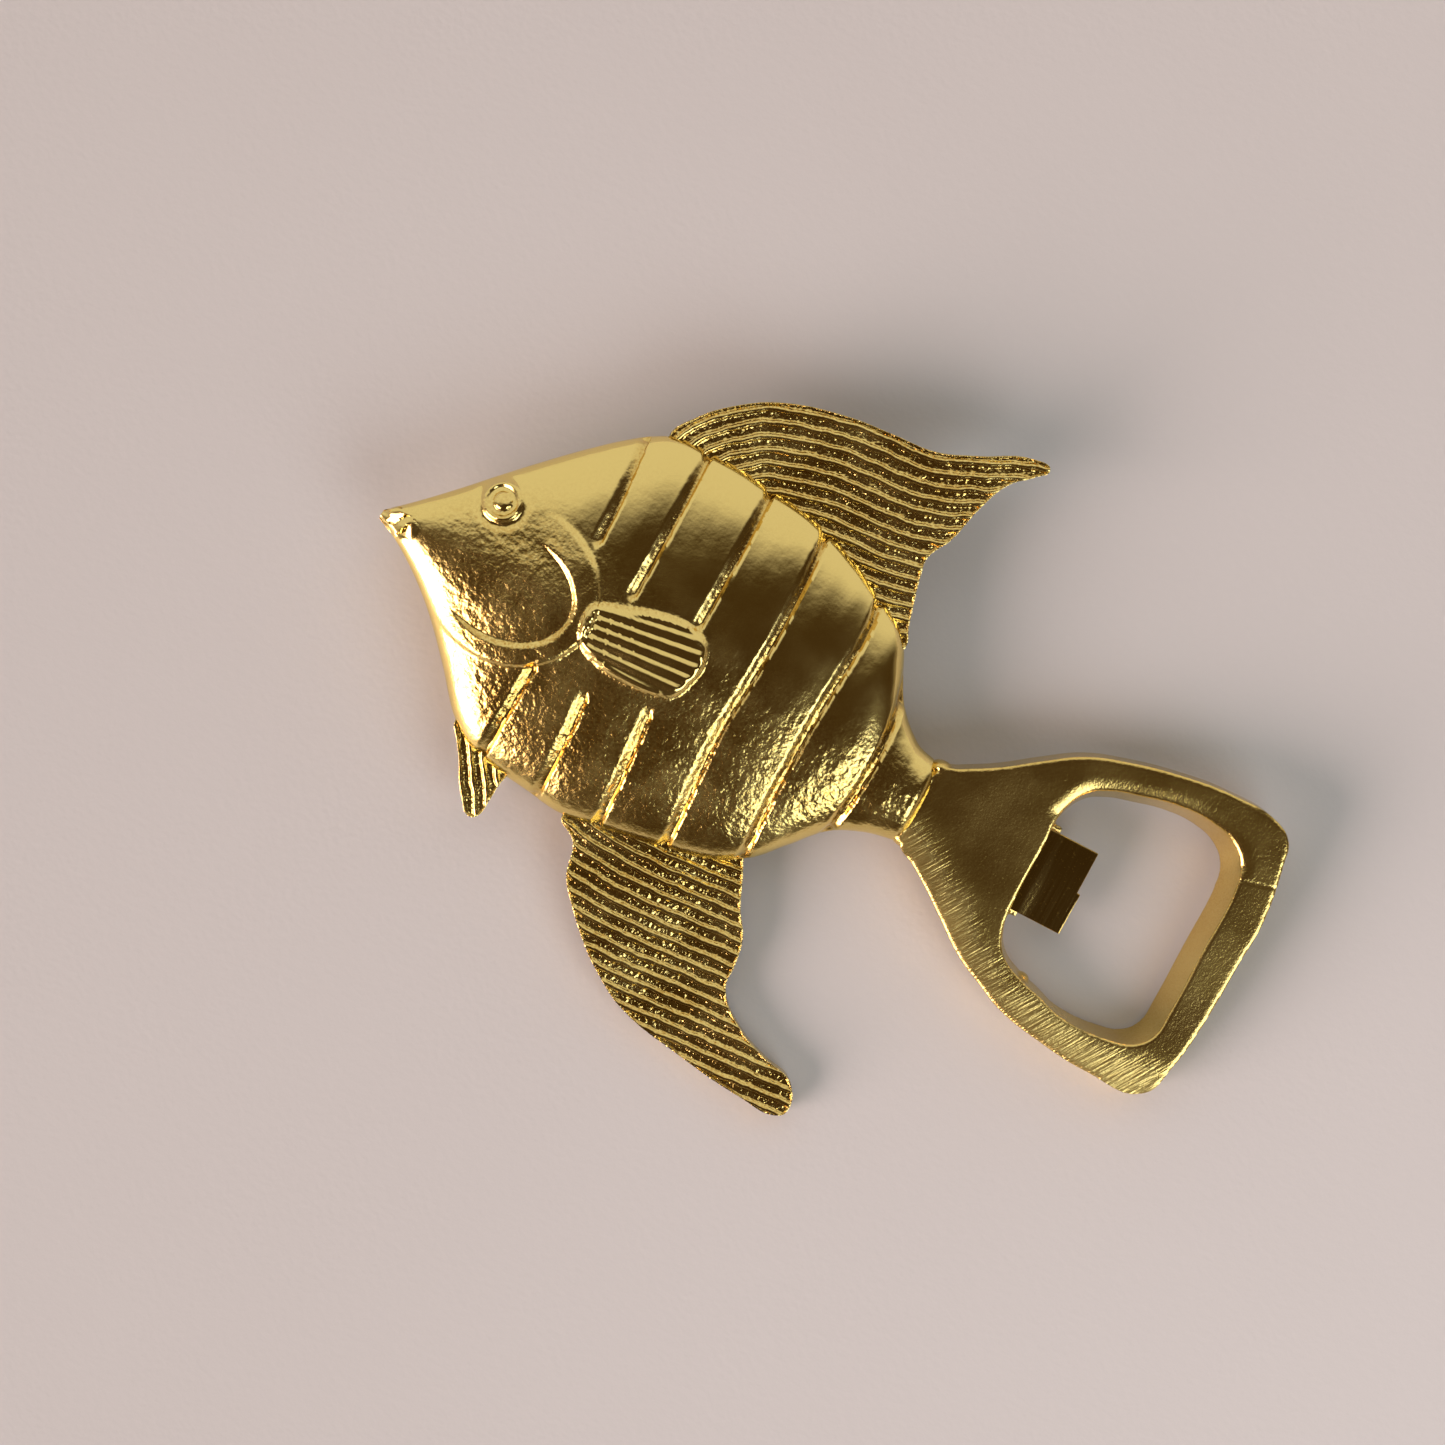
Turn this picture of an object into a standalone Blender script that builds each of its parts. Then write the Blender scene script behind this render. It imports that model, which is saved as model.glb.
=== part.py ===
"""Fish-shaped bottle opener: one casting, and the sheet-metal striker tab locked into its tail ring.

The fish lies on its side. X runs from its lips to its tail, Y from its belly to its back, Z is up.
It is cast in a two-part mould that parts at mid-thickness, so both faces carry the same relief.
"""

import math

import bmesh
import bpy
from mathutils import Matrix, Vector

MM = 0.001

# Body: a pillow from the lips at x = 0 to the neck, thickest amidships.
BODY_LENGTH = 85.7 * MM
BODY_HEIGHT = 54.7 * MM
BODY_THICKNESS = 14.0 * MM
PILLOW_FULLNESS = 0.85
BODY_SIDES = 28

# Stripes: shallow grooves across the body, at one pitch, broken off round the side fin and the cheek.
STRIPE_COUNT = 6
STRIPE_START = 27.9 * MM
STRIPE_PITCH = 9.7 * MM
STRIPE_WIDTH = 1.8 * MM
STRIPE_DEPTH = 0.5 * MM
BROKEN_STRIPES = 3
CHEEK_HALF_HEIGHT = 8.5 * MM

# Fins: flat plates on the mould's parting plane, let into the body by FIN_ROOT.
FIN_THICKNESS = 2.6 * MM
FIN_EDGE = 0.5 * MM
BACK_FIN_START = 30.6 * MM
BACK_FIN_LENGTH = 49.3 * MM
BACK_FIN_HEIGHT = 20.9 * MM
BELLY_FIN_START = 41.9 * MM
BELLY_FIN_LENGTH = 47.9 * MM
BELLY_FIN_HEIGHT = 24.3 * MM
CHIN_FIN_START = 22.4 * MM
CHIN_FIN_LENGTH = 9.8 * MM
CHIN_FIN_HEIGHT = 11.3 * MM

# Relief on each face.
EYE_X = 14.2 * MM
EYE_Y = 9.3 * MM
EYE_RADIUS = 2.4 * MM
EYE_RING = 0.45 * MM
GILL_X = 20.0 * MM
GILL_RADIUS_X = 12.4 * MM
GILL_RADIUS_Y = 10.6 * MM
GILL_RIDGE = 0.7 * MM
GILL_START = -88
GILL_END = 80
GILL_STEPS = 18
SIDE_FIN_X = 32.0 * MM
SIDE_FIN_LENGTH = 19.0 * MM
SIDE_FIN_HEIGHT = 11.6 * MM
SIDE_FIN_RISE = 0.9 * MM
SIDE_FIN_THICKNESS = 2.4 * MM

# Tail: a flat bridge from the neck, then the ring round the opening for a crown cap.
NECK_Y = -1.0 * MM
BRIDGE_LENGTH = 18.1 * MM
OPENING_LENGTH = 27.1 * MM
OPENING_HEIGHT = 34.4 * MM
OPENING_SHIFT = -0.2 * MM
FAR_RIM = 5.5 * MM
SIDE_RIM = 5.0 * MM
TAIL_THICKNESS = 6.0 * MM
TAIL_EDGE = 0.7 * MM
NECK_OVERLAP = 5.0 * MM
# The opening narrows towards the back face by this much on each side.
DRAFT_NEAR = 0.8 * MM
DRAFT_FAR = 1.9 * MM
DRAFT_TOP = 1.8 * MM
DRAFT_BOTTOM = 0.6 * MM

# Striker tab: strip stock, part buried in a slot in the bridge and part over the opening.
TAB_WIDTH = 12.7 * MM
TAB_THICKNESS = 0.9 * MM
TAB_REACH = 8.2 * MM
TAB_BURIED = 8.4 * MM
TAB_END_STEP = 0.5 * MM
TAB_Y = -0.9 * MM
TAB_LEVEL = 0.6 * MM
TAB_CLEARANCE = 0.3 * MM
LUG_RADIUS = 1.6 * MM
LEDGE_REACH = 1.7 * MM
LEDGE_THICKNESS = 1.6 * MM
LEDGE_MARGIN = 0.8 * MM

TAIL_LENGTH = BRIDGE_LENGTH + OPENING_LENGTH + FAR_RIM
TAIL_HEIGHT = OPENING_HEIGHT + 2 * SIDE_RIM
SLOT_THICKNESS = TAB_THICKNESS + 2 * TAB_CLEARANCE
OVERSHOOT = 1.0 * MM

# Outlines, as shares of their own length and height.
BACK_LINE = [(0.0, 0.012), (0.065, 0.106), (0.185, 0.296), (0.26, 0.407), (0.325, 0.49), (0.375, 0.526),
             (0.46, 0.53), (0.545, 0.52), (0.645, 0.497), (0.71, 0.459), (0.79, 0.4), (0.835, 0.355),
             (0.865, 0.295), (0.9, 0.195), (0.95, 0.115), (1.0, 0.09)]
BELLY_LINE = [(0.0, -0.012), (0.055, -0.068), (0.13, -0.17), (0.2, -0.285), (0.255, -0.378),
              (0.31, -0.43), (0.4, -0.455), (0.486, -0.47), (0.6, -0.445), (0.72, -0.404), (0.79, -0.355),
              (0.84, -0.267), (0.89, -0.192), (0.94, -0.147), (1.0, -0.126)]
BODY_DEPTH = [(0.0, 0.12), (0.05, 0.36), (0.15, 0.66), (0.3, 0.92), (0.42, 1.0), (0.6, 0.97),
              (0.75, 0.86), (0.9, 0.68), (1.0, 0.56)]
BACK_FIN = [(0.0, 0.0), (0.043, 0.192), (0.13, 0.392), (0.235, 0.545), (0.43, 0.675), (0.56, 0.708),
            (0.69, 0.737), (0.8, 0.842), (0.95, 1.0), (1.0, 0.985), (0.97, 0.89), (0.915, 0.765),
            (0.875, 0.54), (0.845, 0.263), (0.809, 0.086), (0.815, -0.03), (0.85, -0.35), (0.868, -0.55),
            (0.75, -0.6), (0.4, -0.35), (0.05, -0.2)]
BELLY_FIN = [(0.0, 0.0), (0.065, -0.115), (0.095, -0.313), (0.145, -0.44), (0.234, -0.617), (0.3, -0.72),
             (0.422, -0.86), (0.647, -0.955), (0.858, -1.0), (0.975, -1.0), (1.0, -0.95), (0.967, -0.786),
             (0.868, -0.728), (0.762, -0.642), (0.668, -0.473), (0.66, -0.321), (0.643, -0.16),
             (0.6, -0.03), (0.545, 0.21), (0.48, 0.4), (0.15, 0.2)]
CHIN_FIN = [(0.0, 0.0), (0.163, -0.239), (0.316, -0.442), (0.449, -0.664), (0.622, -0.867), (0.77, -1.0),
            (0.9, -0.97), (0.97, -0.7), (0.99, -0.478), (1.05, -0.3), (1.3, 0.1), (0.4, 0.5)]
SIDE_FIN = [(0.0, 0.1), (0.2, 0.42), (0.55, 0.58), (0.85, 0.5), (0.99, 0.25), (1.0, -0.1), (0.86, -0.36),
            (0.6, -0.42), (0.25, -0.36), (0.0, -0.2)]
TAIL = [(0.006, 0.131), (0.053, 0.162), (0.15, 0.227), (0.24, 0.302), (0.345, 0.381), (0.464, 0.43),
        (0.604, 0.468), (0.751, 0.489), (0.905, 0.477), (0.955, 0.437), (0.972, 0.369), (1.0, 0.171),
        (0.996, 0.025), (0.988, -0.23), (0.972, -0.365), (0.935, -0.489), (0.771, -0.511),
        (0.607, -0.495), (0.465, -0.462), (0.385, -0.421), (0.3, -0.374), (0.199, -0.29), (0.124, -0.227),
        (0.059, -0.178), (0.004, -0.14)]
OPENING = [(0.0, 0.1), (0.0, 0.24), (0.07, 0.365), (0.177, 0.42), (0.328, 0.458), (0.539, 0.496),
           (0.716, 0.499), (0.863, 0.467), (0.959, 0.397), (0.993, 0.3), (0.997, 0.0), (1.0, -0.272),
           (0.985, -0.394), (0.911, -0.461), (0.786, -0.492), (0.498, -0.5), (0.358, -0.467),
           (0.232, -0.44), (0.092, -0.385), (0.025, -0.3), (0.0, -0.167)]


def clear_scene():
    for item in list(bpy.data.objects):
        bpy.data.objects.remove(item)


def new_collection(name):
    collection = bpy.data.collections.new(name)
    bpy.context.scene.collection.children.link(collection)
    return collection


def add_object(name, mesh, collection):
    item = bpy.data.objects.new(name, mesh)
    collection.objects.link(item)
    return item


def add_cutter(name, mesh):
    item = add_object(name, mesh, CUTTERS)
    item.hide_render = True
    item.display_type = "WIRE"
    return item


def metal(name, colour, roughness):
    material = bpy.data.materials.new(name)
    material.use_nodes = True
    shader = material.node_tree.nodes["Principled BSDF"]
    shader.inputs["Base Color"].default_value = (*colour, 1.0)
    shader.inputs["Metallic"].default_value = 1.0
    shader.inputs["Roughness"].default_value = roughness
    return material


def value_on(line, share):
    """Height of a smooth line of (share, value) points at one share of its run."""
    index = max(i for i, point in enumerate(line[:-1]) if point[0] <= share)
    before, start = line[max(index - 1, 0)], line[index]
    end, after = line[index + 1], line[min(index + 2, len(line) - 1)]
    run = end[0] - start[0]
    t = (share - start[0]) / run
    slope_in = (end[1] - before[1]) / (end[0] - before[0]) * run
    slope_out = (after[1] - start[1]) / (after[0] - start[0]) * run
    return (start[1] * (2 * t**3 - 3 * t**2 + 1) + slope_in * (t**3 - 2 * t**2 + t)
            + end[1] * (3 * t**2 - 2 * t**3) + slope_out * (t**3 - t**2))


def body_section(x):
    """Centre height, half height and half thickness of the body at x."""
    share = min(max(x / BODY_LENGTH, 0.0), 1.0)
    top = value_on(BACK_LINE, share) * BODY_HEIGHT
    bottom = value_on(BELLY_LINE, share) * BODY_HEIGHT
    return (top + bottom) / 2, (top - bottom) / 2, value_on(BODY_DEPTH, share) * BODY_THICKNESS / 2


def body_surface(x, y):
    """Height of the body's face above the parting plane."""
    centre, half_height, half_depth = body_section(x)
    across = min(abs(y - centre) / half_height, 1.0)
    return half_depth * (1 - across**2) ** (PILLOW_FULLNESS / 2)


def body_normal(x, y):
    step = 0.5 * MM
    slope_x = (body_surface(x + step, y) - body_surface(x - step, y)) / (2 * step)
    slope_y = (body_surface(x, y + step) - body_surface(x, y - step)) / (2 * step)
    return Vector((-slope_x, -slope_y, 1.0)).normalized()


def stripe_positions():
    return [STRIPE_START + STRIPE_PITCH * number for number in range(STRIPE_COUNT)]


def body_stations():
    """Where the body's sections stand: evenly along it, and at both sides and the floor of each stripe."""
    stripes = stripe_positions()
    even = [BODY_LENGTH * (1 - math.cos(math.pi * step / 52)) for step in range(27)]
    plain = [x for x in even if all(abs(x - stripe) > STRIPE_WIDTH for stripe in stripes)]
    grooved = [stripe + side * STRIPE_WIDTH / 2 for stripe in stripes for side in (-1, 0, 1)]
    return sorted(plain + grooved)


def is_cut_here(x, y):
    """True on the floor of a stripe, except where the cheek and the side fin break it off."""
    for number, stripe in enumerate(stripe_positions()):
        if abs(x - stripe) < STRIPE_WIDTH / 4:
            return number >= BROKEN_STRIPES or abs(y) > CHEEK_HALF_HEIGHT
    return False


def body_mesh():
    """The pillow: lens sections of changing height, depth and centre, lofted from the lips to the neck."""
    work = bmesh.new()
    rings = []
    for x in body_stations():
        centre, half_height, half_depth = body_section(x)
        ring = []
        for side in range(BODY_SIDES):
            angle = 2 * math.pi * side / BODY_SIDES
            y = centre + half_height * math.cos(angle)
            lift = abs(math.sin(angle))
            z = math.copysign(half_depth * lift**PILLOW_FULLNESS, math.sin(angle))
            if lift > 0.3 and is_cut_here(x, y):
                z -= math.copysign(STRIPE_DEPTH, z)
            ring.append(work.verts.new((x, y, z)))
        rings.append(ring)
    for ring, following in zip(rings, rings[1:]):
        for side in range(BODY_SIDES):
            after = (side + 1) % BODY_SIDES
            work.faces.new((ring[side], ring[after], following[after], following[side]))
    work.faces.new(reversed(rings[0]))
    work.faces.new(rings[-1])
    bmesh.ops.recalc_face_normals(work, faces=work.faces)
    mesh = bpy.data.meshes.new("body")
    work.to_mesh(mesh)
    work.free()
    return mesh


def mesh_of_curve(curve_data, weld=0.01 * MM):
    """The closed mesh of a curve, with its loose caps welded on."""
    item = add_object(curve_data.name, curve_data, CUTTERS)
    bpy.context.view_layer.update()
    mesh = bpy.data.meshes.new_from_object(item.evaluated_get(bpy.context.evaluated_depsgraph_get()))
    work = bmesh.new()
    work.from_mesh(mesh)
    bmesh.ops.remove_doubles(work, verts=work.verts, dist=weld)
    bmesh.ops.recalc_face_normals(work, faces=work.faces)
    work.to_mesh(mesh)
    work.free()
    bpy.data.objects.remove(item)
    bpy.data.curves.remove(curve_data)
    return mesh


def plate_mesh(name, outline, length, height, thickness, resolution=3):
    """A flat plate on the parting plane, with a smooth outline given in shares of its length and height."""
    curve = bpy.data.curves.new(name, "CURVE")
    curve.dimensions = "2D"
    curve.fill_mode = "BOTH"
    curve.extrude = thickness / 2
    curve.resolution_u = resolution
    spline = curve.splines.new("BEZIER")
    spline.bezier_points.add(len(outline) - 1)
    spline.use_cyclic_u = True
    for point, (along, across) in zip(spline.bezier_points, outline):
        point.co = (along * length, across * height, 0.0)
        point.handle_left_type = "AUTO"
        point.handle_right_type = "AUTO"
    return mesh_of_curve(curve)


def round_rim(item, width, segments=2):
    bevel = item.modifiers.new("rounded_rim", "BEVEL")
    bevel.width = width
    bevel.segments = segments
    bevel.limit_method = "ANGLE"
    bevel.angle_limit = math.radians(60)


def combine(item, other, operation):
    boolean = item.modifiers.new(f"{operation.lower()}_{other.name}", "BOOLEAN")
    boolean.operation = operation
    boolean.object = other
    boolean.solver = "EXACT"


def box_mesh(name, low, high):
    work = bmesh.new()
    size = Vector(high) - Vector(low)
    place = Matrix.Translation((Vector(low) + Vector(high)) / 2) @ Matrix.Diagonal((*size, 1.0))
    bmesh.ops.create_cube(work, size=1.0, matrix=place)
    mesh = bpy.data.meshes.new(name)
    work.to_mesh(mesh)
    work.free()
    return mesh


def post_mesh(name, radius, low, high, x, y):
    work = bmesh.new()
    bmesh.ops.create_cone(work, cap_ends=True, segments=24, radius1=radius, radius2=radius, depth=high - low,
                          matrix=Matrix.Translation((x, y, (low + high) / 2)))
    mesh = bpy.data.meshes.new(name)
    work.to_mesh(mesh)
    work.free()
    return mesh


def make_fin(name, outline, length, height, start, line):
    """A fin whose root starts on the body's edge line at x = start."""
    fin = add_cutter(name, plate_mesh(name, outline, length, height, FIN_THICKNESS))
    fin.location = (start, value_on(line, start / BODY_LENGTH) * BODY_HEIGHT, 0.0)
    round_rim(fin, FIN_EDGE, segments=1)
    return fin


def set_on_face(name, mesh, x, y, rise):
    """Lay a mesh on the body's face, square to it, and repeat it on the other face."""
    normal = body_normal(x, y)
    turn = Vector((0, 0, 1)).rotation_difference(normal).to_matrix().to_4x4()
    mesh.transform(Matrix.Translation(Vector((x, y, body_surface(x, y))) + normal * rise) @ turn)
    return on_both_faces(name, mesh)


def on_both_faces(name, mesh):
    """A cutter that the parting plane mirrors from the front face to the back one."""
    relief = add_cutter(name, mesh)
    mirror = relief.modifiers.new("parting_plane", "MIRROR")
    mirror.use_axis = (False, False, True)
    mirror.use_mirror_merge = False
    return relief


def eye_ring():
    bpy.ops.mesh.primitive_torus_add(major_radius=EYE_RADIUS, minor_radius=EYE_RING, major_segments=24,
                                     minor_segments=8)
    ring = bpy.context.object
    mesh = ring.data
    bpy.data.objects.remove(ring)
    return set_on_face("eye_ring", mesh, EYE_X, EYE_Y, 0.0)


def eye_dome():
    work = bmesh.new()
    bmesh.ops.create_uvsphere(work, u_segments=16, v_segments=8, radius=EYE_RADIUS / 2)
    mesh = bpy.data.meshes.new("eye_dome")
    work.to_mesh(mesh)
    work.free()
    return set_on_face("eye_dome", mesh, EYE_X, EYE_Y, -EYE_RADIUS / 4)


def gill_ridge():
    """The cheek's edge: a ridge along part of an ellipse, laid on the body's face."""
    curve = bpy.data.curves.new("gill_ridge", "CURVE")
    curve.dimensions = "3D"
    curve.bevel_depth = GILL_RIDGE
    curve.bevel_resolution = 1
    curve.use_fill_caps = True
    spline = curve.splines.new("POLY")
    spline.points.add(GILL_STEPS)
    for step, point in enumerate(spline.points):
        angle = math.radians(GILL_START + (GILL_END - GILL_START) * step / GILL_STEPS)
        x = GILL_X + GILL_RADIUS_X * math.cos(angle)
        y = GILL_RADIUS_Y * math.sin(angle)
        point.co = (x, y, body_surface(x, y), 1.0)
    return on_both_faces("gill_ridge", mesh_of_curve(curve))


def side_fin():
    """A low leaf-shaped plate behind the cheek."""
    mesh = plate_mesh("side_fin", SIDE_FIN, SIDE_FIN_LENGTH, SIDE_FIN_HEIGHT, SIDE_FIN_THICKNESS)
    mesh.transform(Matrix.Translation((-SIDE_FIN_LENGTH / 2, 0.0, -SIDE_FIN_THICKNESS / 2)))
    return set_on_face("side_fin", mesh, SIDE_FIN_X + SIDE_FIN_LENGTH / 2, 0.0, SIDE_FIN_RISE)


def make_tail():
    tail = add_cutter("tail", plate_mesh("tail", TAIL, TAIL_LENGTH, TAIL_HEIGHT, TAIL_THICKNESS, resolution=2))
    tail.location = (BODY_LENGTH, NECK_Y, 0.0)
    round_rim(tail, TAIL_EDGE)
    return tail


def make_opening():
    """The cap opening's cutter, whose four walls lean in towards the back face."""
    height = TAIL_THICKNESS + 2 * OVERSHOOT
    mesh = plate_mesh("opening", OPENING, OPENING_LENGTH, OPENING_HEIGHT, height, resolution=2)
    half_height = OPENING_HEIGHT / 2
    for vertex in mesh.vertices:
        depth = (TAIL_THICKNESS / 2 - vertex.co.z) / TAIL_THICKNESS
        near, far = DRAFT_NEAR * depth, DRAFT_FAR * depth
        vertex.co.x = near + vertex.co.x * (OPENING_LENGTH - near - far) / OPENING_LENGTH
        low, high = DRAFT_BOTTOM * depth, DRAFT_TOP * depth
        share = (vertex.co.y + half_height) / OPENING_HEIGHT
        vertex.co.y = -half_height + low + share * (OPENING_HEIGHT - low - high)
    opening = add_cutter("opening", mesh)
    opening.location = (BODY_LENGTH + BRIDGE_LENGTH, NECK_Y + OPENING_SHIFT, 0.0)
    return opening


def tab_spans():
    """Wall, low and high edge, and level of the tab, which the slot and the ledge share."""
    wall = BODY_LENGTH + BRIDGE_LENGTH
    return wall, NECK_Y + TAB_Y - TAB_WIDTH / 2, NECK_Y + TAB_Y + TAB_WIDTH / 2, TAB_LEVEL


def lug_position():
    wall, low, high, _ = tab_spans()
    return wall - TAB_BURIED / 2, (low + high) / 2


def make_slot():
    wall, low, high, level = tab_spans()
    return add_cutter("slot", box_mesh(
        "slot",
        (wall - TAB_BURIED - TAB_CLEARANCE, low - TAB_CLEARANCE, level - SLOT_THICKNESS / 2),
        (wall + LEDGE_REACH + OVERSHOOT, high + TAB_CLEARANCE, level + SLOT_THICKNESS / 2)))


def make_ledge():
    """The shelf of the casting that the tab rests on where it leaves the wall."""
    wall, low, high, level = tab_spans()
    top = level - SLOT_THICKNESS / 2
    ledge = add_cutter("ledge", box_mesh(
        "ledge",
        (wall - TAB_BURIED, low - LEDGE_MARGIN, top - LEDGE_THICKNESS),
        (wall + LEDGE_REACH, high + LEDGE_MARGIN, top)))
    return ledge


def make_lug():
    x, y = lug_position()
    half = SLOT_THICKNESS / 2 + OVERSHOOT
    return add_cutter("lug", post_mesh("lug", LUG_RADIUS, TAB_LEVEL - half, TAB_LEVEL + half, x, y))


def make_casting():
    casting = add_object("fish_casting", body_mesh(), PARTS)
    combine(casting, make_tail(), "UNION")
    combine(casting, make_fin("back_fin", BACK_FIN, BACK_FIN_LENGTH, BACK_FIN_HEIGHT, BACK_FIN_START,
                              BACK_LINE), "UNION")
    combine(casting, make_fin("belly_fin", BELLY_FIN, BELLY_FIN_LENGTH, BELLY_FIN_HEIGHT, BELLY_FIN_START,
                              BELLY_LINE), "UNION")
    combine(casting, make_fin("chin_fin", CHIN_FIN, CHIN_FIN_LENGTH, CHIN_FIN_HEIGHT, CHIN_FIN_START,
                              BELLY_LINE), "UNION")
    for relief in (eye_ring(), eye_dome(), gill_ridge(), side_fin()):
        combine(casting, relief, "UNION")
    combine(casting, make_opening(), "DIFFERENCE")
    combine(casting, make_ledge(), "UNION")
    combine(casting, make_slot(), "DIFFERENCE")
    combine(casting, make_lug(), "UNION")
    casting.data.materials.append(metal("cast_gold_metal", (0.60, 0.46, 0.16), 0.32))
    return casting


def make_tab():
    """The strip, with a stepped sheared end and a hole for the lug."""
    wall, low, high, level = tab_spans()
    underside, top = level - TAB_THICKNESS / 2, level + TAB_THICKNESS / 2
    middle = (low + high) / 2
    tab = add_object("striker_tab", box_mesh(
        "striker_tab", (wall - TAB_BURIED, low, underside), (wall + TAB_REACH, high, top)), PARTS)
    step = add_cutter("tab_end_step", box_mesh(
        "tab_end_step",
        (wall + TAB_REACH - TAB_END_STEP, middle, underside - OVERSHOOT),
        (wall + TAB_REACH + OVERSHOOT, high + OVERSHOOT, top + OVERSHOOT)))
    combine(tab, step, "DIFFERENCE")
    x, y = lug_position()
    hole = add_cutter("lug_hole", post_mesh("lug_hole", LUG_RADIUS + TAB_CLEARANCE, underside - OVERSHOOT,
                                            top + OVERSHOOT, x, y))
    combine(tab, hole, "DIFFERENCE")
    tab.data.materials.append(metal("tab_gold_metal", (0.48, 0.36, 0.13), 0.24))
    return tab


def stand_on_floor(parts):
    """Move the opener so that the middle of its box's underside is at the origin."""
    bpy.context.view_layer.update()
    depsgraph = bpy.context.evaluated_depsgraph_get()
    corners = [part.matrix_world @ Vector(corner)
               for part in parts for corner in part.evaluated_get(depsgraph).bound_box]
    low = Vector(min(corner[axis] for corner in corners) for axis in range(3))
    high = Vector(max(corner[axis] for corner in corners) for axis in range(3))
    shift = Vector((-(low.x + high.x) / 2, -(low.y + high.y) / 2, -low.z))
    frame = bpy.data.objects.new("opener_frame", None)
    PARTS.objects.link(frame)
    for item in [*parts, *CUTTERS.objects]:
        item.parent = frame
    frame.location = shift


clear_scene()
PARTS = new_collection("fish_bottle_opener")
CUTTERS = new_collection("cutters")
stand_on_floor([make_casting(), make_tab()])
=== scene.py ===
import math

import bmesh
import bpy
import numpy as np
from mathutils import Matrix, Vector


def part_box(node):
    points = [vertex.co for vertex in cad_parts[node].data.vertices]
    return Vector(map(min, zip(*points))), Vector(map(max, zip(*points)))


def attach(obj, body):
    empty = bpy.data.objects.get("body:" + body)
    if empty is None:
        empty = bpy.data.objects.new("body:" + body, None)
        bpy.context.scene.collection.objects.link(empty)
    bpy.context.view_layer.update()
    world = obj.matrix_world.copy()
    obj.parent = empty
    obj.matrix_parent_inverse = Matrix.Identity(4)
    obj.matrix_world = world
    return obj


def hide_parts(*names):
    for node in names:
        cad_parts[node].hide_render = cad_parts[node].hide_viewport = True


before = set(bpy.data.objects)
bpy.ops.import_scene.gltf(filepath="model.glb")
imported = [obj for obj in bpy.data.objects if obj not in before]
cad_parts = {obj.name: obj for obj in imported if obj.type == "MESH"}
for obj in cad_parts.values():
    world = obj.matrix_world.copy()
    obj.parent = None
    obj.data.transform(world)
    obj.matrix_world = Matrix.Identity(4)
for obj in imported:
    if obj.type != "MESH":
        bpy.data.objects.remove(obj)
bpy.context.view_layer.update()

# The opener is shaped in millimetres in the fish's own frame: x from the lips to the tail, y towards the
# back fin, z = 0 on the mould's parting plane. Finished pieces are set into the CAD frame, in metres.
MM = 0.001
CASTING_LOW, CASTING_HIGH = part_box("fish_casting")
BELLY_REACH = 50.4
LIPS = Vector((CASTING_LOW.x, CASTING_LOW.y + BELLY_REACH * MM, (CASTING_LOW.z + CASTING_HIGH.z) / 2))

# Body: a pillow from the lips to the neck.
BODY_LENGTH = 85.7
BODY_HEIGHT = 54.7
BODY_THICKNESS = 14.0
PILLOW_FULLNESS = 0.85
BODY_STATIONS = 384
BODY_ACROSS = 246
NECK_ROUNDING = 1.4
NECK_ROUNDING_DROP = 0.32

# Stripes: each is a groove with a gentle wall towards the head and a steep one towards the tail.
STRIPE_DEPTH = 0.66
GENTLE_WALL = 1.5
STEEP_WALL = 0.5
WALL_CHANGE = 0.3
STRIPE_WANDER = 0.3
PANEL_CROWN = 0.32
PANEL_REACH = 3.2

# Fins: plates on the parting plane with cast ribs.
FIN_THICKNESS = 2.6
FIN_EDGE = 0.5
BACK_FIN_START = 30.6
BACK_FIN_SIZE = (49.3, 20.9)
BELLY_FIN_START = 41.9
BELLY_FIN_SIZE = (47.9, 24.3)
BELLY_FIN_DIP = 1.1
BELLY_FIN_DIP_SPAN = (12, 27, 42)
CHIN_FIN_START = 22.4
CHIN_FIN_SIZE = (9.8, 11.3)
RIB_PITCH = 1.9
BELLY_RIB_PITCH = 1.862
CHIN_RIB_PITCH = 1.7
BACK_RIB_START = 1.0
BELLY_RIB_START = 0.6
CHIN_RIB_START = 0.9
RIB_WANDER = 0.7
RIB_DEPTH = 0.5
FIN_GRID = 0.155

# Relief on each face.
EYE = (14.4, 9.8)
EYE_RING_RADIUS = 2.45
EYE_RING_WIDTH = 0.36
EYE_RING_RISE = 0.55
PUPIL_RADIUS = 1.3
PUPIL_RISE = 0.6
EYE_MOAT_DEPTH = 0.15
EYE_MOAT_GAP = 1.1
EYE_MOAT_WIDTH = 0.5
EYE_CLEARANCE = 1.2
CHEEK_CENTRE = (20.2, -0.4)
CHEEK_RADII = (10.1, 7.7)
CHEEK_RISE = 0.25
GILL_CENTRE = (20.7, 0.3)
GILL_RADII = (12.6, 11.2)
GILL_RISE = 0.6
GILL_ARC = (-130, 92)
GILL_ARC_FADE = 45
SIDE_FIN = [(32.0, 2.6), (36.4, 4.6), (41.4, 6.2), (45.9, 6.6), (48.6, 5.3), (49.6, 2.6), (49.2, -0.1),
            (47.9, -3.0), (44.9, -4.2), (40.3, -4.5), (36.6, -4.0), (32.8, -2.2)]
SIDE_FIN_RISE = 0.85
SIDE_FIN_RIM = 0.55
SIDE_FIN_AIM = math.radians(6)
SIDE_FIN_FAN = 45.0
SIDE_FIN_PITCH = 1.75
SIDE_FIN_RIBS = 0.19
LIP_SPOT = (2.2, 0.2)
LIP_SPOT_RADIUS = 3.9
LIP_SPOT_SLOPE = 0.3

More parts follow.
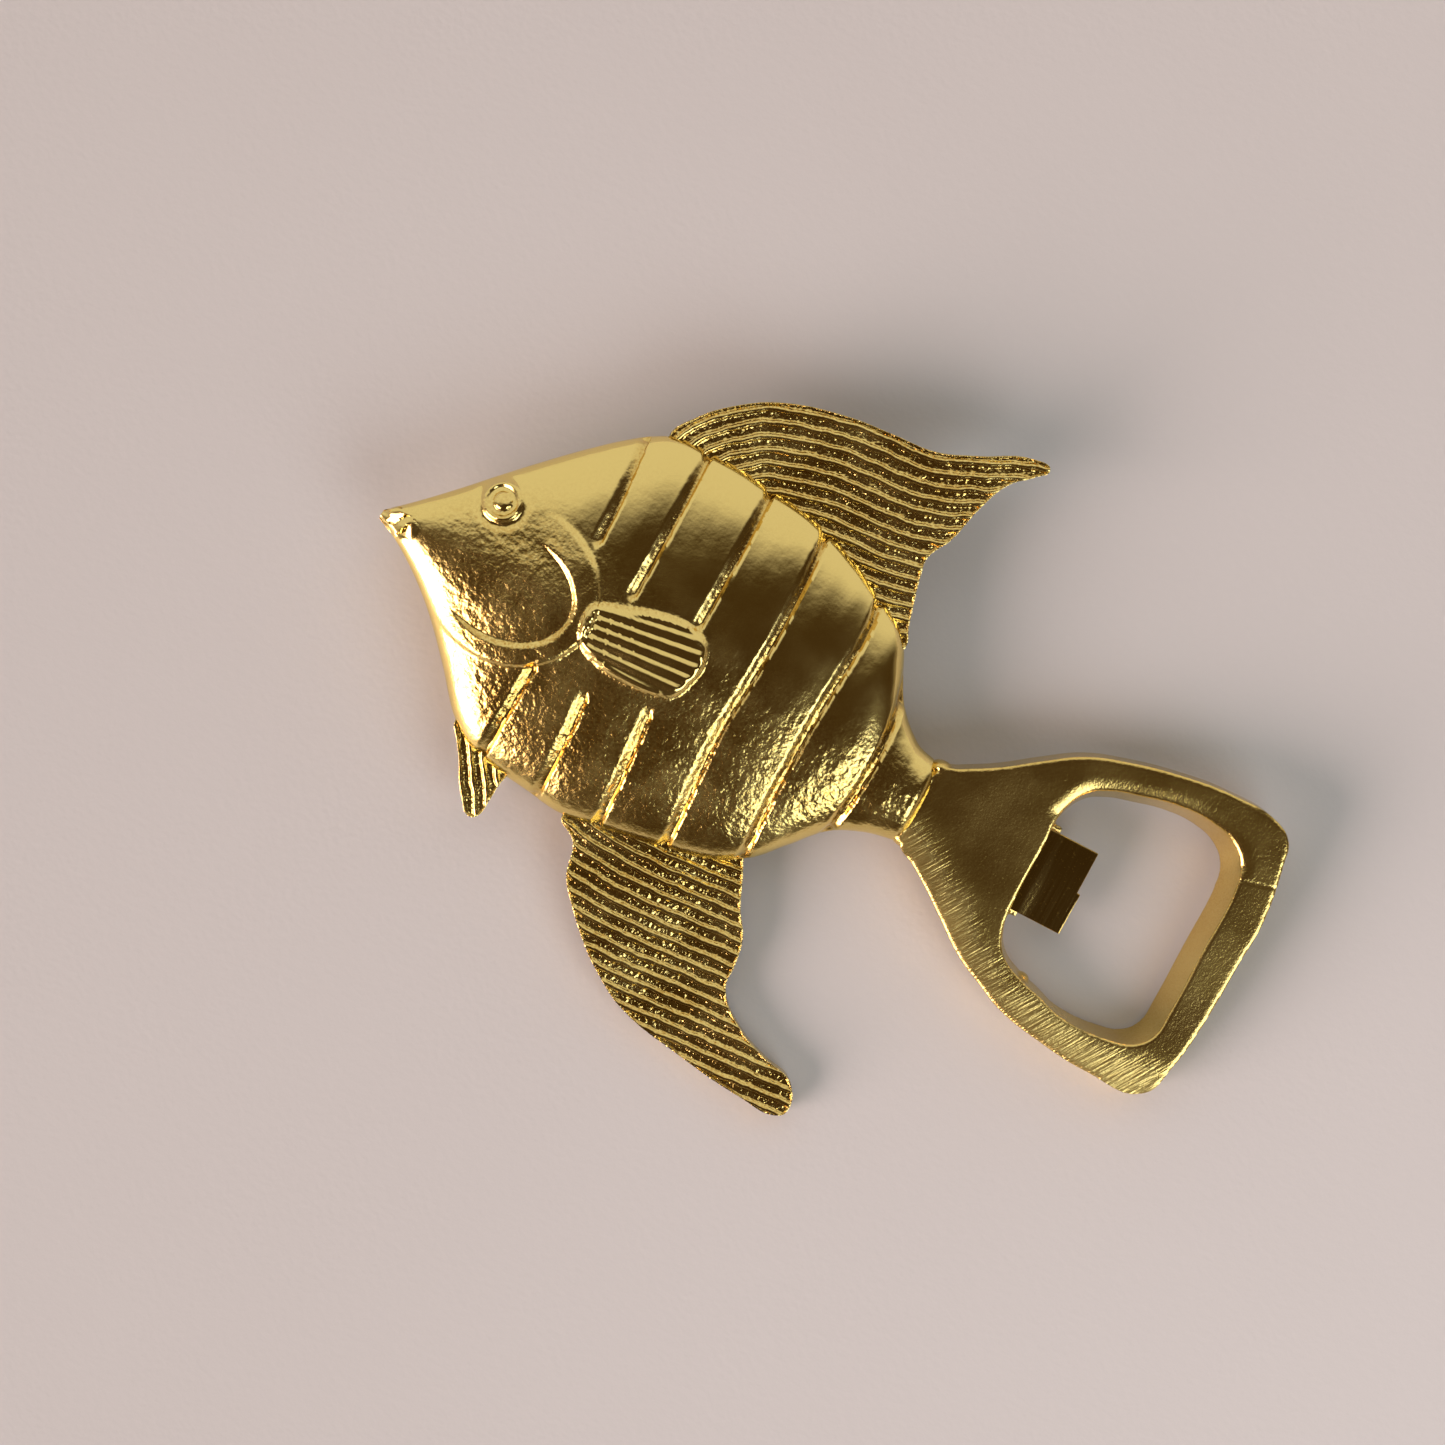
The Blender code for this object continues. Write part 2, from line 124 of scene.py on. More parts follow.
# Tail: a flat bridge and the ring round the cap opening.
NECK_Y = -1.0
BRIDGE_LENGTH = 18.1
OPENING_SIZE = (27.1, 34.4)
OPENING_SHIFT = -0.2
FAR_RIM = 5.5
SIDE_RIM = 5.0
TAIL_THICKNESS = 6.0
TAIL_EDGE = 0.5
DRAFT_NEAR = 0.8
DRAFT_FAR = 1.9
DRAFT_TOP = 1.8
DRAFT_BOTTOM = 0.6
TAIL_GRID = 0.24
TAIL_SIZE = (BRIDGE_LENGTH + OPENING_SIZE[0] + FAR_RIM, OPENING_SIZE[1] + 2 * SIDE_RIM)
HAIRLINE_DEPTH = 0.07
# How far the brushed band reaches in from the lower edge; the band gets real strokes and a painted highlight.
BRUSHED_REACH = (1.5, 7.5)

# Where a polishing belt took the faces of the tail down: how far in from the edge, and how deep.
OUTER_ROLL_OFF = (0.8, 0.1)
INNER_ROLL_OFF = (0.5, 0.06)
LOWER_ROLL_OFF = (6.0, 0.5)
UPPER_INNER_ROLL_OFF = (2.2, 0.4)

# Drops of spare metal: place and radii, from the opening's body-side wall and from the neck.
NUB = (6.6, -16.4, -0.6, (1.2, 0.9, 1.6))
NECK_DROPS = [(0.6, 5.0, 1.0, (1.8, 1.1, 2.1)), (0.2, -6.4, 1.0, (1.6, 1.2, 2.1))]

# Striker tab, and the slot, ledge and lug that hold it.
TAB_WIDTH = 12.7
TAB_THICKNESS = 0.9
TAB_REACH = 8.2
TAB_BURIED = 8.4
TAB_END_STEP = 0.5
TAB_Y = -0.9
TAB_LEVEL = 0.6
TAB_CLEARANCE = 0.3
TAB_BOW = 0.03
TAB_CREASE = 0.13
TAB_CREASE_AT = 0.16
TAB_CREASE_WIDTH = 0.13
TAB_SOFT_EDGE = 0.14
TAB_CUTS = 24
LUG_RADIUS = 1.6
LEDGE_REACH = 1.7
LEDGE_THICKNESS = 1.6
LEDGE_MARGIN = 0.8
LEDGE_LIP = 0.08

# Outlines, as shares of their own length and height.
BACK_LINE = [(0.0, 0.012), (0.065, 0.106), (0.185, 0.296), (0.26, 0.407), (0.325, 0.49), (0.375, 0.526),
             (0.46, 0.53), (0.545, 0.52), (0.645, 0.497), (0.71, 0.459), (0.79, 0.4), (0.835, 0.355),
             (0.865, 0.295), (0.9, 0.195), (0.95, 0.115), (1.0, 0.09)]
BELLY_LINE = [(0.0, -0.012), (0.055, -0.056), (0.13, -0.149), (0.2, -0.267), (0.255, -0.37),
              (0.31, -0.43), (0.4, -0.455), (0.486, -0.47), (0.6, -0.445), (0.72, -0.404), (0.79, -0.355),
              (0.84, -0.267), (0.89, -0.192), (0.94, -0.147), (1.0, -0.126)]
BODY_DEPTH = [(0.0, 0.12), (0.05, 0.36), (0.15, 0.66), (0.3, 0.92), (0.42, 1.0), (0.6, 0.97),
              (0.75, 0.86), (0.9, 0.68), (1.0, 0.56)]
BACK_FIN = [(0.0, 0.0), (0.043, 0.192), (0.13, 0.392), (0.235, 0.545), (0.43, 0.675), (0.56, 0.708),
            (0.69, 0.737), (0.8, 0.842), (0.95, 1.0), (1.0, 0.985), (0.97, 0.89), (0.915, 0.765),
            (0.875, 0.54), (0.845, 0.263), (0.809, 0.086), (0.815, -0.03), (0.85, -0.35), (0.868, -0.55),
            (0.75, -0.6), (0.4, -0.35), (0.05, -0.2)]
BACK_FIN_EDGE_POINTS = 9
BELLY_FIN = [(0.0, 0.0), (0.065, -0.115), (0.095, -0.313), (0.145, -0.44), (0.234, -0.617), (0.3, -0.72),
             (0.422, -0.86), (0.647, -0.955), (0.858, -1.0), (0.975, -1.0), (1.0, -0.95), (0.967, -0.786),
             (0.868, -0.728), (0.762, -0.642), (0.668, -0.473), (0.66, -0.321), (0.643, -0.16),
             (0.6, -0.03), (0.545, 0.21), (0.48, 0.4), (0.15, 0.2)]
CHIN_FIN = [(0.0, 0.0), (0.163, -0.239), (0.316, -0.442), (0.449, -0.664), (0.622, -0.867), (0.77, -1.0),
            (0.9, -0.97), (0.97, -0.7), (0.99, -0.478), (1.05, -0.3), (1.3, 0.1), (0.4, 0.5)]
TAIL = [(0.006, 0.131), (0.053, 0.162), (0.15, 0.227), (0.24, 0.302), (0.345, 0.381), (0.464, 0.43),
        (0.604, 0.468), (0.751, 0.489), (0.905, 0.477), (0.955, 0.437), (0.972, 0.369), (1.0, 0.171),
        (0.996, 0.025), (0.988, -0.23), (0.972, -0.365), (0.935, -0.489), (0.771, -0.511),
        (0.607, -0.495), (0.465, -0.462), (0.385, -0.421), (0.3, -0.374), (0.199, -0.29), (0.124, -0.227),
        (0.059, -0.178), (0.004, -0.14)]
OPENING = [(0.0, 0.1), (0.0, 0.24), (0.07, 0.365), (0.177, 0.42), (0.328, 0.458), (0.539, 0.496),
           (0.716, 0.499), (0.863, 0.467), (0.959, 0.397), (0.993, 0.3), (0.997, 0.0), (1.0, -0.272),
           (0.985, -0.394), (0.911, -0.461), (0.786, -0.492), (0.498, -0.5), (0.358, -0.467),
           (0.232, -0.44), (0.092, -0.385), (0.025, -0.3), (0.0, -0.167)]

# Where the stripes run, from the back to the belly. Three are broken off round the cheek and the side fin.
STRIPES = [
    [(28.1, 27.4), (28.9, 18.0), (29.0, 11.4)],
    [(29.0, -8.9), (28.6, -16.0), (28.2, -23.4)],
    [(37.1, 29.0), (37.0, 18.0), (36.7, 7.0)],
    [(37.3, -9.4), (37.6, -17.0), (37.5, -25.0)],
    [(47.2, 28.6), (47.1, 18.0), (46.8, 7.6)],
    [(46.3, -7.4), (46.8, -16.0), (47.2, -25.2)],
    [(56.7, 27.6), (57.0, 20.6), (57.0, 12.0), (56.6, 3.0), (56.1, -4.0), (56.4, -13.0), (57.1, -24.4)],
    [(67.8, 22.6), (68.0, 16.0), (67.2, 5.3), (66.9, -4.4), (67.0, -12.0), (67.6, -20.6)],
    [(76.2, 14.4), (77.4, 7.0), (77.2, -2.8), (76.3, -12.6)],
]

# The lines that the ribs of the belly fin and the chin fin run beside; the back fin's follow its own edge.
BELLY_RIB_LINE = [(31, -8.0), (36, -13.8), (42, -17.8), (49, -19.4), (58, -19.6), (70, -18.8), (95, -16.8)]
CHIN_RIB_LINE = [(16.0, -12.5), (20.4, -19.5), (26.5, -28.9), (31.0, -36.0)]

METAL_WORK = bpy.data.collections.new("shaping")
bpy.context.scene.collection.children.link(METAL_WORK)


# ---------------------------------------------------------------- curves and distances

def value_on(line, share):
    """A smooth line through (share, value) points, read at an array of shares."""
    at, value = np.array(line).T
    slope = np.gradient(value, at)
    slope[1:-1] = (value[2:] - value[:-2]) / (at[2:] - at[:-2])
    index = np.clip(np.searchsorted(at, share, side="right") - 1, 0, len(at) - 2)
    run = at[index + 1] - at[index]
    t = (share - at[index]) / run
    return (value[index] * (2 * t**3 - 3 * t**2 + 1) + slope[index] * run * (t**3 - 2 * t**2 + t)
            + value[index + 1] * (3 * t**2 - 2 * t**3) + slope[index + 1] * run * (t**3 - t**2))


def smooth_line(points, steps=12, closed=False):
    """Close-set points along a smooth line through the given ones."""
    points = np.array(points, dtype=float)
    if closed:
        points = np.vstack([points[-1:], points, points[:2]])
    else:
        points = np.vstack([2 * points[0] - points[1], points, 2 * points[-1] - points[-2]])
    t = np.linspace(0, 1, steps, endpoint=False)[:, None]
    spans = []
    for a, b, c, d in zip(points, points[1:], points[2:], points[3:]):
        spans.append(0.5 * (2 * b + (c - a) * t + (2 * a - 5 * b + 4 * c - d) * t**2
                            + (3 * b - a - 3 * c + d) * t**3))
    line = np.vstack(spans)
    return line if closed else np.vstack([line, points[-2]])


def distance_to(line, x, y, closed=False):
    """Each point's distance to a line of close-set points."""
    ends = np.roll(line, -1, axis=0) if closed else line[1:]
    best = np.full(np.shape(x), np.inf)
    for (ax, ay), (bx, by) in zip(line, ends):
        run_x, run_y = bx - ax, by - ay
        t = np.clip(((x - ax) * run_x + (y - ay) * run_y) / (run_x**2 + run_y**2 + 1e-12), 0, 1)
        best = np.minimum(best, np.hypot(x - ax - t * run_x, y - ay - t * run_y))
    return best


def is_inside(line, x, y):
    """True for each point within a closed line."""
    inside = np.zeros(np.shape(x), dtype=bool)
    for (ax, ay), (bx, by) in zip(line, np.roll(line, -1, axis=0)):
        crosses = (ay > y) != (by > y)
        reach = ax + (y - ay) * (bx - ax) / (by - ay if by != ay else 1e-12)
        inside ^= crosses & (x < reach)
    return inside


def ease(value, low, high):
    """0 below low, 1 above high, smooth between them."""
    t = np.clip((value - low) / (high - low), 0, 1)
    return t * t * (3 - 2 * t)


# ---------------------------------------------------------------- meshes

def shaping_object(name, mesh):
    item = bpy.data.objects.new(name, mesh)
    METAL_WORK.objects.link(item)
    return item


def evaluated_mesh(item):
    """The object's shape with its modifiers, as a plain mesh; the object goes."""
    bpy.context.view_layer.update()
    mesh = bpy.data.meshes.new_from_object(item.evaluated_get(bpy.context.evaluated_depsgraph_get()))
    bpy.data.objects.remove(item)
    return mesh


def clean(mesh, weld=0.01):
    work = bmesh.new()
    work.from_mesh(mesh)
    bmesh.ops.remove_doubles(work, verts=work.verts, dist=weld)
    bmesh.ops.recalc_face_normals(work, faces=work.faces)
    work.to_mesh(mesh)
    work.free()
    return mesh


def grid_mesh(name, rows, closing):
    """A mesh over rows of equally many points, with extra closing faces given as point numbers."""
    mesh = bpy.data.meshes.new(name)
    count, across = rows.shape[:2]
    number = np.arange(count * across).reshape(count, across)
    quads = np.stack([number[:-1, :-1], number[:-1, 1:], number[1:, 1:], number[1:, :-1]], axis=-1)
    mesh.from_pydata(rows.reshape(-1, 3).tolist(), [], quads.reshape(-1, 4).tolist() + closing)
    return mesh


def plate(name, outline, size, thickness, rounding, place, resolution=6):
    """A flat plate on the parting plane with a smooth outline and a rounded rim."""
    curve = bpy.data.curves.new(name, "CURVE")
    curve.dimensions = "2D"
    curve.fill_mode = "BOTH"
    curve.extrude = thickness / 2
    curve.resolution_u = resolution
    spline = curve.splines.new("BEZIER")
    spline.bezier_points.add(len(outline) - 1)
    spline.use_cyclic_u = True
    for point, (along, across) in zip(spline.bezier_points, outline):
        point.co = (along * size[0], across * size[1], 0.0)
        point.handle_left_type = "AUTO"
        point.handle_right_type = "AUTO"
    mesh = clean(evaluated_mesh(shaping_object(name, curve)))
    mesh.transform(Matrix.Translation((*place, 0.0)))
    if rounding == 0:
        return mesh
    item = shaping_object(name, mesh)
    bevel = item.modifiers.new("rounded_rim", "BEVEL")
    bevel.width = rounding
    bevel.segments = 3
    bevel.limit_method = "ANGLE"
    bevel.angle_limit = math.radians(60)
    return evaluated_mesh(item)


def block(low, high):
    work = bmesh.new()
    size = Vector(high) - Vector(low)
    place = Matrix.Translation((Vector(low) + Vector(high)) / 2) @ Matrix.Diagonal((*size, 1.0))
    bmesh.ops.create_cube(work, size=1.0, matrix=place)
    mesh = bpy.data.meshes.new("block")
    work.to_mesh(mesh)
    work.free()
    return mesh


def post(radius, low, high, x, y, sides=32):
    work = bmesh.new()
    bmesh.ops.create_cone(work, cap_ends=True, segments=sides, radius1=radius, radius2=radius,
                          depth=high - low, matrix=Matrix.Translation((x, y, (low + high) / 2)))
    mesh = bpy.data.meshes.new("post")
    work.to_mesh(mesh)
    work.free()
    return mesh


def drop(x, y, z, radii):
    """A small rounded lump of metal."""
    work = bmesh.new()
    place = Matrix.Translation((x, y, z)) @ Matrix.Diagonal((*radii, 1.0))
    bmesh.ops.create_icosphere(work, subdivisions=3, radius=1.0, matrix=place)
    mesh = bpy.data.meshes.new("drop")
    work.to_mesh(mesh)
    work.free()
    return mesh


def joined(meshes):
    work = bmesh.new()
    for mesh in meshes:
        work.from_mesh(mesh)
    result = bpy.data.meshes.new("joined")
    work.to_mesh(result)
    work.free()
    return result


def cut(mesh, cutter):
    item = shaping_object("stock", mesh)
    tool = shaping_object("cutter", cutter)
    boolean = item.modifiers.new("cut", "BOOLEAN")
    boolean.operation = "DIFFERENCE"
    boolean.object = tool
    boolean.solver = "EXACT"
    result = evaluated_mesh(item)
    bpy.data.objects.remove(tool)
    return result


def even_grid(mesh, step):
    """The same solid with an even skin of small faces, its overlapping bodies run together."""
    item = shaping_object("skin", mesh)
    remesh = item.modifiers.new("even_grid", "REMESH")
    remesh.mode = "VOXEL"
    remesh.voxel_size = step
    return evaluated_mesh(item)


def points_of(mesh):
    flat = np.empty(len(mesh.vertices) * 3, dtype=np.float32)
    mesh.vertices.foreach_get("co", flat)
    return flat.reshape(-1, 3).astype(float)


def move_points(mesh, points):
    mesh.vertices.foreach_set("co", points.astype(np.float32).ravel())
    mesh.update()


def guide(name, lines):
    """Lines on the parting plane for ribs or grooves to follow."""
    points, edges = [], []
    for line in lines:
        start = len(points)
        points += [(x, y, 0.0) for x, y in line]
        edges += [(start + step, start + step + 1) for step in range(len(line) - 1)]
    mesh = bpy.data.meshes.new(name)
    mesh.from_pydata(points, edges, [])
    return shaping_object(name, mesh)


# ---------------------------------------------------------------- node trees

def feed(tree, socket, value):
    if isinstance(value, bpy.types.NodeSocket):
        tree.links.new(value, socket)
    elif value is not None:
        socket.default_value = value


def add(tree, kind, *values, named=None, **settings):
    """Add a node, set it up, and feed its inputs in order or by name."""
    node = tree.nodes.new(kind)
    for key, value in settings.items():
        setattr(node, key, value)
    for socket, value in zip(node.inputs, values):
        feed(tree, socket, value)
    for name, value in (named or {}).items():
        feed(tree, node.inputs[name], value)
    return node


def maths(tree, operation, *values):
    return add(tree, "ShaderNodeMath", *values, operation=operation).outputs[0]


def eased(tree, value, low, high, to_low=0.0, to_high=1.0):
    return add(tree, "ShaderNodeMapRange", value, low, high, to_low, to_high,
               interpolation_type="SMOOTHSTEP").outputs[0]


def noise(tree, vector, scale, detail=2.0, roughness=0.5):
    return add(tree, "ShaderNodeTexNoise",
               named={"Vector": vector, "Scale": scale, "Detail": detail, "Roughness": roughness}).outputs[0]


def socket_tree(name, kind, inputs, outputs):
    """A node group with named inputs (name, kind, value) and outputs (name, kind)."""
    tree = bpy.data.node_groups.new(name, kind)
    for label, sort, value in inputs:
        socket = tree.interface.new_socket(label, in_out="INPUT", socket_type=f"NodeSocket{sort}")
        if value is not None:
            socket.default_value = value
    for label, sort in outputs:
        tree.interface.new_socket(label, in_out="OUTPUT", socket_type=f"NodeSocket{sort}")
    return tree, tree.nodes.new("NodeGroupInput").outputs, tree.nodes.new("NodeGroupOutput").inputs


def finish_tree(tree, geometry, metal, output):
    """Every tree ends with real geometry in its metal."""
    real = add(tree, "GeometryNodeRealizeInstances", geometry).outputs[0]
    smooth = add(tree, "GeometryNodeSetShadeSmooth", real, None, True).outputs[0]
    coated = add(tree, "GeometryNodeSetMaterial", smooth, named={"Material": metal}).outputs[0]
    tree.links.new(coated, output)


def flat_position(tree):
    place = add(tree, "ShaderNodeSeparateXYZ", add(tree, "GeometryNodeInputPosition").outputs[0])
    return add(tree, "ShaderNodeCombineXYZ", place.outputs[0], place.outputs[1], 0.0).outputs[0], place


def off_the_plane(tree, height):
    """0 on the parting plane, 1 a little way above or below it, so that the mould's line stays put."""
    return eased(tree, maths(tree, "ABSOLUTE", height), 0.1, 0.9)


def skin_push(tree, geometry, amount):
    offset = add(tree, "ShaderNodeVectorMath", add(tree, "GeometryNodeInputNormal").outputs[0],
                 operation="SCALE")
    feed(tree, offset.inputs["Scale"], amount)
    return add(tree, "GeometryNodeSetPosition", geometry, named={"Offset": offset.outputs[0]}).outputs[0]


def keep_value(tree, geometry, name, value):
    """Store a value on the points for the material to read."""
    return add(tree, "GeometryNodeStoreNamedAttribute", geometry,
               named={"Name": name, "Value": value}, data_type="FLOAT", domain="POINT").outputs[0]


def make_groove_tree():
    """Grooves along guides: a gentle wall on the head side, a steep one on the tail side."""
    tree, given, result = socket_tree("grooves_along_guides", "GeometryNodeTree", [
        ("Geometry", "Geometry", None), ("Guides", "Object", None), ("Depth", "Float", 0.5),
        ("Gentle Wall", "Float", 1.2), ("Steep Wall", "Float", 0.5), ("Crown", "Float", 0.2),
        ("Reach", "Float", 3.0), ("Metal", "Material", None)], [("Geometry", "Geometry")])
    flat, place = flat_position(tree)
    wobble = maths(tree, "MULTIPLY_ADD", noise(tree, flat, 0.6), STRIPE_WANDER, -STRIPE_WANDER / 2)
    lines = add(tree, "GeometryNodeObjectInfo", given["Guides"]).outputs["Geometry"]
    near = add(tree, "GeometryNodeProximity", lines, named={"Sample Position": flat}, target_element="EDGES")
    nearest_x = add(tree, "ShaderNodeSeparateXYZ", near.outputs["Position"]).outputs[0]
    aside = maths(tree, "SUBTRACT", place.outputs[0], nearest_x)
    is_tail_side = eased(tree, aside, -WALL_CHANGE, WALL_CHANGE)
    wall = add(tree, "ShaderNodeMix", is_tail_side, data_type="FLOAT")
    feed(tree, wall.inputs[2], given["Gentle Wall"])
    feed(tree, wall.inputs[3], given["Steep Wall"])
    distance = maths(tree, "ADD", near.outputs["Distance"], wobble)
    share = maths(tree, "DIVIDE", distance, wall.outputs[0])
    groove = eased(tree, share, 0.0, 1.0, 1.0, 0.0)
    crown_share = maths(tree, "DIVIDE", maths(tree, "SUBTRACT", distance, wall.outputs[0]), given["Reach"])
    # The panels swell more towards the tail.
    swell = maths(tree, "MULTIPLY", given["Crown"], eased(tree, place.outputs[0], 45.0, 78.0, 0.3, 1.0))
    crown = maths(tree, "MULTIPLY", eased(tree, crown_share, -0.3, 1.0), swell)
    push = maths(tree, "SUBTRACT", crown, maths(tree, "MULTIPLY", groove, given["Depth"]))
    push = maths(tree, "MULTIPLY", push, off_the_plane(tree, place.outputs[2]))
    # The groove share goes to the body metal, which gives the grooves more grain and paints shade into them.
    kept = keep_value(tree, given["Geometry"], "groove", groove)
    finish_tree(tree, skin_push(tree, kept, push), given["Metal"], result["Geometry"])
    return tree


def make_rib_tree():
    """Narrow crests at one pitch from a guide, with grainy valleys between them."""
    tree, given, result = socket_tree("ribs_along_guide", "GeometryNodeTree", [
        ("Geometry", "Geometry", None), ("Guide", "Object", None), ("Pitch", "Float", 1.9),
        ("Start", "Float", 0.4), ("Depth", "Float", 0.4), ("Grain Size", "Float", 0.6),
        ("Grain Height", "Float", 0.17), ("Metal", "Material", None)], [("Geometry", "Geometry")])
    flat, place = flat_position(tree)
    lines = add(tree, "GeometryNodeObjectInfo", given["Guide"]).outputs["Geometry"]
    near = add(tree, "GeometryNodeProximity", lines, named={"Sample Position": flat}, target_element="EDGES")
    wobble = maths(tree, "MULTIPLY_ADD", noise(tree, flat, 0.35), RIB_WANDER, -RIB_WANDER / 2)
    distance = maths(tree, "ADD", maths(tree, "SUBTRACT", near.outputs["Distance"], given["Start"]), wobble)
    turns = maths(tree, "DIVIDE", distance, given["Pitch"])
    from_crest = maths(tree, "MULTIPLY", maths(tree, "PINGPONG", turns, 0.5), 2.0)
    crest = eased(tree, from_crest, 0.16, 0.58, 1.0, 0.0)
    height = add(tree, "ShaderNodeSeparateXYZ", add(tree, "GeometryNodeInputNormal").outputs[0]).outputs[2]
    on_face = eased(tree, maths(tree, "ABSOLUTE", height), 0.35, 0.85)
    grain = maths(tree, "SUBTRACT", noise(tree, add(tree, "GeometryNodeInputPosition").outputs[0],
                                          maths(tree, "DIVIDE", 1.0, given["Grain Size"]), 2.0, 0.6), 0.5)
    valley = maths(tree, "SUBTRACT", 1.0, crest)
    low = maths(tree, "MULTIPLY", valley, given["Depth"])
    rough = maths(tree, "MULTIPLY", maths(tree, "MULTIPLY", grain, given["Grain Height"]),
                  maths(tree, "MULTIPLY_ADD", valley, 1.4, 0.1))
    push = maths(tree, "MULTIPLY", maths(tree, "SUBTRACT", rough, low), on_face)
    # The crest share goes to the fin metal, which puts grain and painted shade in the valleys.
    kept = keep_value(tree, given["Geometry"], "crest", maths(tree, "MULTIPLY", crest, on_face))
    finish_tree(tree, skin_push(tree, kept, push), given["Metal"], result["Geometry"])
    return tree


def make_skin_tree():
    """The uneven skin of a casting: broad waves and smaller hammered lumps, more of them low on the body."""
    tree, given, result = socket_tree("uneven_skin", "GeometryNodeTree", [
        ("Geometry", "Geometry", None), ("Wave Size", "Float", 7.0), ("Wave Height", "Float", 0.11),
        ("Lump Size", "Float", 1.0), ("Lump Height", "Float", 0.21), ("Smooth Above", "Float", 12.0),
        ("Metal", "Material", None)], [("Geometry", "Geometry")])
    position = add(tree, "GeometryNodeInputPosition").outputs[0]
    place = add(tree, "ShaderNodeSeparateXYZ", position)
    wave = maths(tree, "SUBTRACT", noise(tree, position, maths(tree, "DIVIDE", 1.0, given["Wave Size"]), 1.0),
                 0.5)
    lump = maths(tree, "SUBTRACT", noise(tree, position, maths(tree, "DIVIDE", 1.0, given["Lump Size"]), 2.0),
                 0.5)
    # The smooth area ends on a slant: higher at the head, lower at the rear.
    line = maths(tree, "MULTIPLY_ADD", place.outputs[0], 0.12, place.outputs[1])
    lumpy = eased(tree, maths(tree, "SUBTRACT", given["Smooth Above"], line), -6.0, 8.0, 0.1, 1.0)
    above_rim = eased(tree, maths(tree, "ABSOLUTE", place.outputs[2]), 2.0, 4.8, 0.2, 1.0)
    behind_jaw = eased(tree, place.outputs[0], 8.0, 22.0, 0.5, 1.0)
    lumpy = maths(tree, "MULTIPLY", lumpy, maths(tree, "MULTIPLY", above_rim, behind_jaw))
    spots = add(tree, "GeometryNodeInputNamedAttribute", "smooth_spots", data_type="FLOAT").outputs[0]
    lumpy = maths(tree, "MULTIPLY", lumpy, maths(tree, "MULTIPLY_ADD", spots, -0.85, 1.0))
    push = maths(tree, "ADD", maths(tree, "MULTIPLY", wave, given["Wave Height"]),
                 maths(tree, "MULTIPLY", maths(tree, "MULTIPLY", lump, lumpy), given["Lump Height"]))
    push = maths(tree, "MULTIPLY", push, off_the_plane(tree, place.outputs[2]))
    kept = keep_value(tree, given["Geometry"], "lumpy", lumpy)
    finish_tree(tree, skin_push(tree, kept, push), given["Metal"], result["Geometry"])
    return tree


def shaped_by(mesh, steps):
    """Run a mesh through node trees, each with its own input values."""
    item = shaping_object("shaped", mesh)
    for tree, values in steps:
        modifier = item.modifiers.new(tree.name, "NODES")
        modifier.node_group = tree
        for socket in tree.interface.items_tree:
            if socket.in_out == "INPUT" and socket.name in values:
                modifier[socket.identifier] = values[socket.name]
    return evaluated_mesh(item)


# ---------------------------------------------------------------- metals

def object_place(tree):
    return add(tree, "ShaderNodeTexCoord").outputs["Object"]


def make_grain_group():
    """Cast grain: small pits and bumps, as a height, with the gloss and the tone that go with them."""
    tree, given, result = socket_tree("cast_grain", "ShaderNodeTree", [
        ("Vector", "Vector", None), ("Grain", "Float", 1.0), ("Grain Size", "Float", 0.5),
        ("Gloss", "Float", 0.2), ("Dullness", "Float", 0.15)],
        [("Height", "Float"), ("Roughness", "Float"), ("Tone", "Float")])
    per_metre = maths(tree, "DIVIDE", 1.0 / MM, given["Grain Size"])
    coarse = noise(tree, given["Vector"], maths(tree, "MULTIPLY", per_metre, 0.45), 1.0)
    fine = noise(tree, given["Vector"], per_metre, 2.0, 0.6)
    cells = add(tree, "ShaderNodeTexVoronoi", named={"Vector": given["Vector"], "Scale": per_metre},
                feature="SMOOTH_F1")
    height = maths(tree, "ADD", maths(tree, "MULTIPLY", coarse, 0.9), maths(tree, "MULTIPLY", fine, 0.6))
    height = maths(tree, "ADD", height, maths(tree, "MULTIPLY", cells.outputs["Distance"], 0.5))
    tree.links.new(maths(tree, "MULTIPLY", height, given["Grain"]), result["Height"])
    patches = noise(tree, given["Vector"], 130.0, 3.0)
    dull = maths(tree, "MULTIPLY", eased(tree, patches, 0.35, 0.7), given["Dullness"])
    tree.links.new(maths(tree, "ADD", given["Gloss"], dull), result["Roughness"])
    tree.links.new(eased(tree, maths(tree, "ADD", fine, maths(tree, "MULTIPLY", patches, 0.5)), 0.45, 0.95),
                   result["Tone"])
    return tree


def make_brush_group():
    """Linishing strokes: fine parallel scratches along one direction."""
    tree, given, result = socket_tree("brush_strokes", "ShaderNodeTree", [
        ("Vector", "Vector", None), ("Turn", "Float", 0.0), ("Stroke Width", "Float", 0.25),
        ("Stroke Length", "Float", 4.0)], [("Height", "Float"), ("Streak", "Float")])
    turned = add(tree, "ShaderNodeVectorRotate", rotation_type="Z_AXIS",
                 named={"Vector": given["Vector"], "Angle": given["Turn"]}).outputs[0]
    sides = add(tree, "ShaderNodeSeparateXYZ", turned)
    along = maths(tree, "DIVIDE", sides.outputs[0], maths(tree, "MULTIPLY", given["Stroke Length"], MM))
    across = maths(tree, "DIVIDE", sides.outputs[1], maths(tree, "MULTIPLY", given["Stroke Width"], MM))
    stroke = add(tree, "ShaderNodeCombineXYZ", along, across, sides.outputs[2]).outputs[0]
    streak = noise(tree, stroke, 1.0, 2.0, 0.5)
    tree.links.new(streak, result["Height"])
    tree.links.new(eased(tree, streak, 0.3, 0.7), result["Streak"])
    return tree


